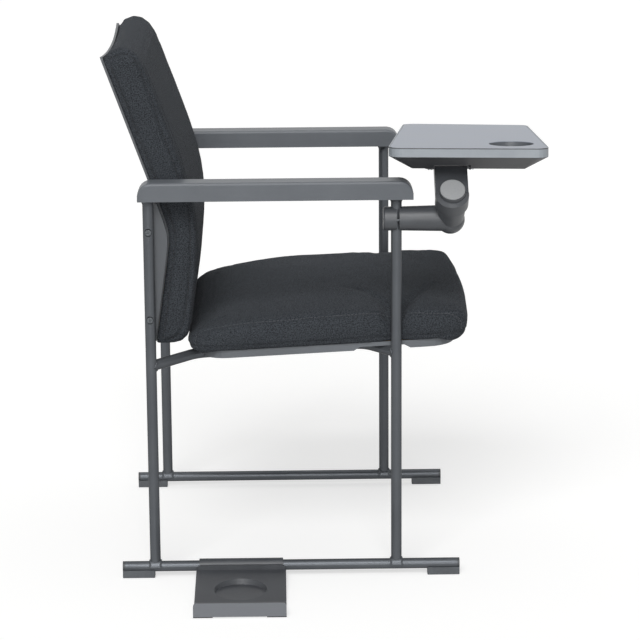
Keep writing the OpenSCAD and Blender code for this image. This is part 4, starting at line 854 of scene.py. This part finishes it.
# Dark thread: the back's stitches are almost black and only show as a rough line in their groove
dark_thread = thread.copy()
dark_thread.name = "dark bonded thread"
dark_tone = [node for node in dark_thread.node_tree.nodes if node.type == "VALTORGB"][0]
for stop, colour in zip(dark_tone.color_ramp.elements, ("#131416", "#1d1e20")):
    stop.color = rgb(colour)
for hand in back_seams:
    stitch(f"back_stitches_{hand}", back_seams[hand], back, dark_thread)
    stitch(f"welt_stitches_{hand}", welt_rows[hand], back, dark_thread)

# Tablet arm
# The arm, its clamp cap, the elbow and the hub are aluminium castings in the frame's grey, a little coarser.
# The hub turns on a steel pin against a pale friction washer, and a grey cap hides the nut.
cast_coat, shader, where = start("powder coat on cast aluminium", "#47494d", 0.42, IOR=1.5)
sand_mm, cast_mm = 1.5, 33.33
sand = add(cast_coat, "TexNoise", {"Scale": 1000 / sand_mm, "Detail": 3.0, "Roughness": 0.55},
           {"Vector": where})
cloud = add(cast_coat, "TexNoise", {"Scale": 1000 / cast_mm, "Detail": 4.0}, {"Vector": where})
tone = add(cast_coat, "ValToRGB", links={"Fac": cloud.outputs["Fac"]},
           stops=((0.3, "#434549"), (0.7, "#4c4f53")))
gloss = add(cast_coat, "MapRange", {"To Min": 0.36, "To Max": 0.48}, {"Value": cloud.outputs["Fac"]})
relief = add(cast_coat, "Bump", {"Strength": 0.4, "Distance": 0.00018}, {"Height": sand.outputs["Fac"]})
join(cast_coat, shader, {"Base Color": tone.outputs["Color"], "Roughness": gloss.outputs["Result"],
                         "Normal": relief.outputs["Normal"]})
dress(cast_coat, "clamp_cap", "tablet_arm", "tablet_bracket")

# Hub cap: light grey moulded nylon, matt, with a fine mottle from its mould
cap_grey, shader, where = start("moulded nylon cap", "#96989a", 0.5, IOR=1.53)
nylon_mm = 1.429
fine = add(cap_grey, "TexNoise", {"Scale": 1000 / nylon_mm, "Detail": 3.0}, {"Vector": where})
tone = add(cap_grey, "ValToRGB", links={"Fac": fine.outputs["Fac"]},
           stops=((0.3, "#929496"), (0.7, "#9c9e9f")))
relief = add(cap_grey, "Bump", {"Strength": 0.2, "Distance": 0.0001}, {"Height": fine.outputs["Fac"]})
join(cap_grey, shader, {"Base Color": tone.outputs["Color"], "Normal": relief.outputs["Normal"]})
dress(cap_grey, "hub_cap")

# Friction washer: natural acetal, greyish white and waxy
acetal, shader, where = start("natural acetal washer", "#9a9c9c", 0.45, IOR=1.48)
acetal_mm = 2.0
fine = add(acetal, "TexNoise", {"Scale": 1000 / acetal_mm, "Detail": 2.0}, {"Vector": where})
tone = add(acetal, "ValToRGB", links={"Fac": fine.outputs["Fac"]}, stops=((0.3, "#8f9192"), (0.7, "#a4a6a6")))
join(acetal, shader, {"Base Color": tone.outputs["Color"]})
dress(acetal, "friction_washer")

# Writing tablet
# The lower moulding is dark ABS with a grey edge band; its dark colour below the band is painted shade under
# the tablet. The top panel is grey ABS with a cup recess, dropped into the band, whose inside is coloured
# darker as painted shade. Both have a fine pebble grain against glare.
tablet_grey, shader, where = start("pebble-grained ABS panel", "#8a919d", 0.38, IOR=1.53)
pebble_mm, wear_mm = 1.2, 62.5
pebble = add(tablet_grey, "TexVoronoi", {"Scale": 1000 / pebble_mm}, {"Vector": where}, feature="SMOOTH_F1")
wear = add(tablet_grey, "TexNoise", {"Scale": 1000 / wear_mm, "Detail": 7.0, "Roughness": 0.6},
           {"Vector": where})
tone = add(tablet_grey, "ValToRGB", links={"Fac": wear.outputs["Fac"]},
           stops=((0.3, "#878e9a"), (0.7, "#8f96a3")))
tilt = math.radians(3)
tablet_normal = Vector((0, math.sin(tilt), math.cos(tilt)))
hinge = at(502, -265, 619.7)
writing_z, recess_below, recess_fade = 0.1248, 0.0006, 0.0006
height = add(tablet_grey, "VectorMath", {1: tablet_normal}, {0: where}, operation="DOT_PRODUCT")
level_at = hinge.dot(tablet_normal) + writing_z
# Painted shade: below the writing face the cup recess takes a darker colour, standing in for the shade inside
# it
painted_recess_shade = add(tablet_grey, "MapRange",
             {"From Min": level_at - recess_below - recess_fade, "From Max": level_at - recess_below},
             {"Value": height.outputs["Value"]})
both = add(tablet_grey, "Mix", {"A": rgb("#565a5f")},
           {"Factor": painted_recess_shade.outputs["Result"], "B": tone.outputs["Color"]}, data_type="RGBA")
gloss = add(tablet_grey, "MapRange", {"To Min": 0.33, "To Max": 0.44}, {"Value": wear.outputs["Fac"]})
relief = add(tablet_grey, "Bump", {"Strength": 0.2, "Distance": 0.0001},
             {"Height": pebble.outputs["Distance"]})
join(tablet_grey, shader, {"Base Color": both.outputs["Result"], "Roughness": gloss.outputs["Result"],
                           "Normal": relief.outputs["Normal"]})
dress(tablet_grey, "tablet_top")

# Lower moulding: dark below the band as painted shade under the tablet, and grey for the band, parted at the
# band's lower edge
band_z, band_h = 0.1093, 0.0155
painted_shade_moulding, shader, where = start("ABS moulding with painted shade", "#3a3b3e", 0.45, IOR=1.53)
height = add(painted_shade_moulding, "VectorMath", {1: tablet_normal}, {0: where}, operation="DOT_PRODUCT")
parting = hinge.dot(tablet_normal) + band_z
share_up = add(painted_shade_moulding, "MapRange", {"From Min": parting, "From Max": parting + band_h},
               {"Value": height.outputs["Value"]})
# From below: painted shade under the tablet, the grey band, a painted shadow line under the top panel's rim,
# and the rim
under_shade_share, band_share, shadow_line_share = 0.02, 0.885, 0.985
band = add(painted_shade_moulding, "ValToRGB", links={"Fac": share_up.outputs["Result"]})
band.color_ramp.interpolation = "CONSTANT"
for place_at, value in ((under_shade_share, 1.0), (band_share, 0.12), (shadow_line_share, 1.0)):
    step = band.color_ramp.elements.new(place_at)
    step.color = (value, value, value, 1)
edge_wear_mm = 33.33
wear = add(painted_shade_moulding, "TexNoise", {"Scale": 1000 / edge_wear_mm, "Detail": 5.0}, {"Vector": where})
# Painted shade: the dark colour below the band stands in for the shade on the tablet's underside
below = add(painted_shade_moulding, "ValToRGB", links={"Fac": wear.outputs["Fac"]},
            stops=((0.3, "#303134"), (0.7, "#38393c")))
edge = add(painted_shade_moulding, "ValToRGB", links={"Fac": wear.outputs["Fac"]},
           stops=((0.3, "#8e949a"), (0.7, "#979da3")))
shots = add(painted_shade_moulding, "Mix", links={"Factor": band.outputs["Color"], "A": below.outputs["Color"],
                                    "B": edge.outputs["Color"]}, data_type="RGBA")
pebble = add(painted_shade_moulding, "TexVoronoi", {"Scale": 1000 / pebble_mm}, {"Vector": where}, feature="SMOOTH_F1")
relief = add(painted_shade_moulding, "Bump", {"Strength": 0.25, "Distance": 0.00012},
             {"Height": pebble.outputs["Distance"]})
join(painted_shade_moulding, shader, {"Base Color": shots.outputs["Result"], "Normal": relief.outputs["Normal"]})
dress(painted_shade_moulding, "tablet_base")

# Drip tray
# An injection-moulded polypropylene tray hooks over the right floor rail and rests on two pads under its lip.
# It has a coarse grain all over, and its lip's front face is coloured lighter as painted light where it faces
# the lamps.
tray_grey, shader, where = start("moulded polypropylene tray", "#46494d", 0.45, IOR=1.49)
grit_mm, tray_wear_mm = 1.4, 40
grit = add(tray_grey, "TexVoronoi", {"Scale": 1000 / grit_mm}, {"Vector": where}, feature="SMOOTH_F1")
wear = add(tray_grey, "TexNoise", {"Scale": 1000 / tray_wear_mm, "Detail": 6.0, "Roughness": 0.65},
           {"Vector": where})
tone = add(tray_grey, "ValToRGB", links={"Fac": wear.outputs["Fac"]},
           stops=((0.3, "#393b3f"), (0.75, "#44474b")))
parts_of = add(tray_grey, "SeparateXYZ", links={"Vector": where})
lip_y = points_of(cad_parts["drip_tray"])[:, 1].min()
# Painted light: the lip's front face, toward the lamps, takes a lighter colour than the rest of the tray
lip_t, lip_fade = 0.0015, 0.002
rim_of = add(tray_grey, "MapRange", {"From Min": lip_y + lip_t + lip_fade, "From Max": lip_y + lip_t},
             {"Value": parts_of.outputs["Y"]})
painted_lip_light = add(tray_grey, "Mix", {"B": rgb("#6e7176")},
              {"Factor": rim_of.outputs["Result"], "A": tone.outputs["Color"]}, data_type="RGBA")
gloss = add(tray_grey, "MapRange", {"To Min": 0.38, "To Max": 0.54}, {"Value": wear.outputs["Fac"]})
relief = add(tray_grey, "Bump", {"Strength": 0.35, "Distance": 0.0002}, {"Height": grit.outputs["Distance"]})
join(tray_grey, shader, {"Base Color": painted_lip_light.outputs["Result"], "Roughness": gloss.outputs["Result"],
                         "Normal": relief.outputs["Normal"]})
dress(tray_grey, "drip_tray")

# Pads: black rubber, matt and slightly dusty
rubber, shader, where = start("rubber pad", "#2a2b2c", 0.8, IOR=1.52)
dust_mm = 5.556
dust = add(rubber, "TexNoise", {"Scale": 1000 / dust_mm, "Detail": 5.0}, {"Vector": where})
tone = add(rubber, "ValToRGB", links={"Fac": dust.outputs["Fac"]}, stops=((0.4, "#252627"), (0.8, "#393a3b")))
relief = add(rubber, "Bump", {"Strength": 0.3, "Distance": 0.0001}, {"Height": dust.outputs["Fac"]})
join(rubber, shader, {"Base Color": tone.outputs["Color"], "Normal": relief.outputs["Normal"]})
dress(rubber, "tray_feet")

# Studio
# A plain pale floor under soft, even light: a broad key above the camera and an open white surround.
# The floor shows white to the camera, to gloss and to glass, and keeps the chair's shadow.
floor_size, floor_below, floor_lift, sky_light = 60, 0.0005, 0.57, 0.22


def seen_directly(owner):
    """1 for what the camera, gloss or glass sees, and 0 for the light that falls on things"""
    ray = add(owner, "LightPath")
    eye = add(owner, "Math", links={0: ray.outputs["Is Camera Ray"], 1: ray.outputs["Is Glossy Ray"]},
              operation="MAXIMUM")
    eye = add(owner, "Math", links={0: eye.outputs["Value"], 1: ray.outputs["Is Transmission Ray"]},
              operation="MAXIMUM")
    return eye.outputs["Value"]


deselect()
bpy.ops.mesh.primitive_plane_add(size=floor_size, location=(0, 0, -floor_below))
floor = bpy.context.object
floor.name = "studio_floor"
floor_finish, shader, _ = start("pale studio floor", "#c8c8c7", 0.9, Specular_IOR_Level=0.0)
lift = add(floor_finish, "Math", {1: floor_lift}, {0: seen_directly(floor_finish)}, operation="MULTIPLY")
glow = add(floor_finish, "Emission", {"Color": (1, 1, 1, 1)}, {"Strength": lift.outputs["Value"]})
both = add(floor_finish, "AddShader", links={0: shader.outputs["BSDF"], 1: glow.outputs["Emission"]})
join(floor_finish, floor_finish.node_tree.nodes["Material Output"], {"Surface": both.outputs["Shader"]})
floor.data.materials.append(floor_finish)

world = bpy.data.worlds.new("studio")
world.use_nodes = True
bpy.context.scene.world = world
sky = world.node_tree.nodes["Background"]
sky.inputs["Color"].default_value = (1, 1, 1, 1)
strength = add(world, "MapRange", {"To Min": sky_light, "To Max": 1.0}, {"Value": seen_directly(world)})
join(world, sky, {"Strength": strength.outputs["Result"]})

for name, heading, energy, spread in (("key", Vector((-0.18, -1.0, 0.9)), 1.9, 30),
                                      ("front", Vector((0.05, -1.0, 0.1)), 1.0, 30),
                                      ("overhead", Vector((0.1, 0.15, 1)), 0.4, 60)):
    lamp_data = bpy.data.lights.new(name, "SUN")
    lamp_data.energy = energy
    lamp_data.angle = math.radians(spread)
    lamp = bpy.data.objects.new(name, lamp_data)
    bpy.context.scene.collection.objects.link(lamp)
    lamp.rotation_euler = heading.to_track_quat("Z", "Y").to_euler()
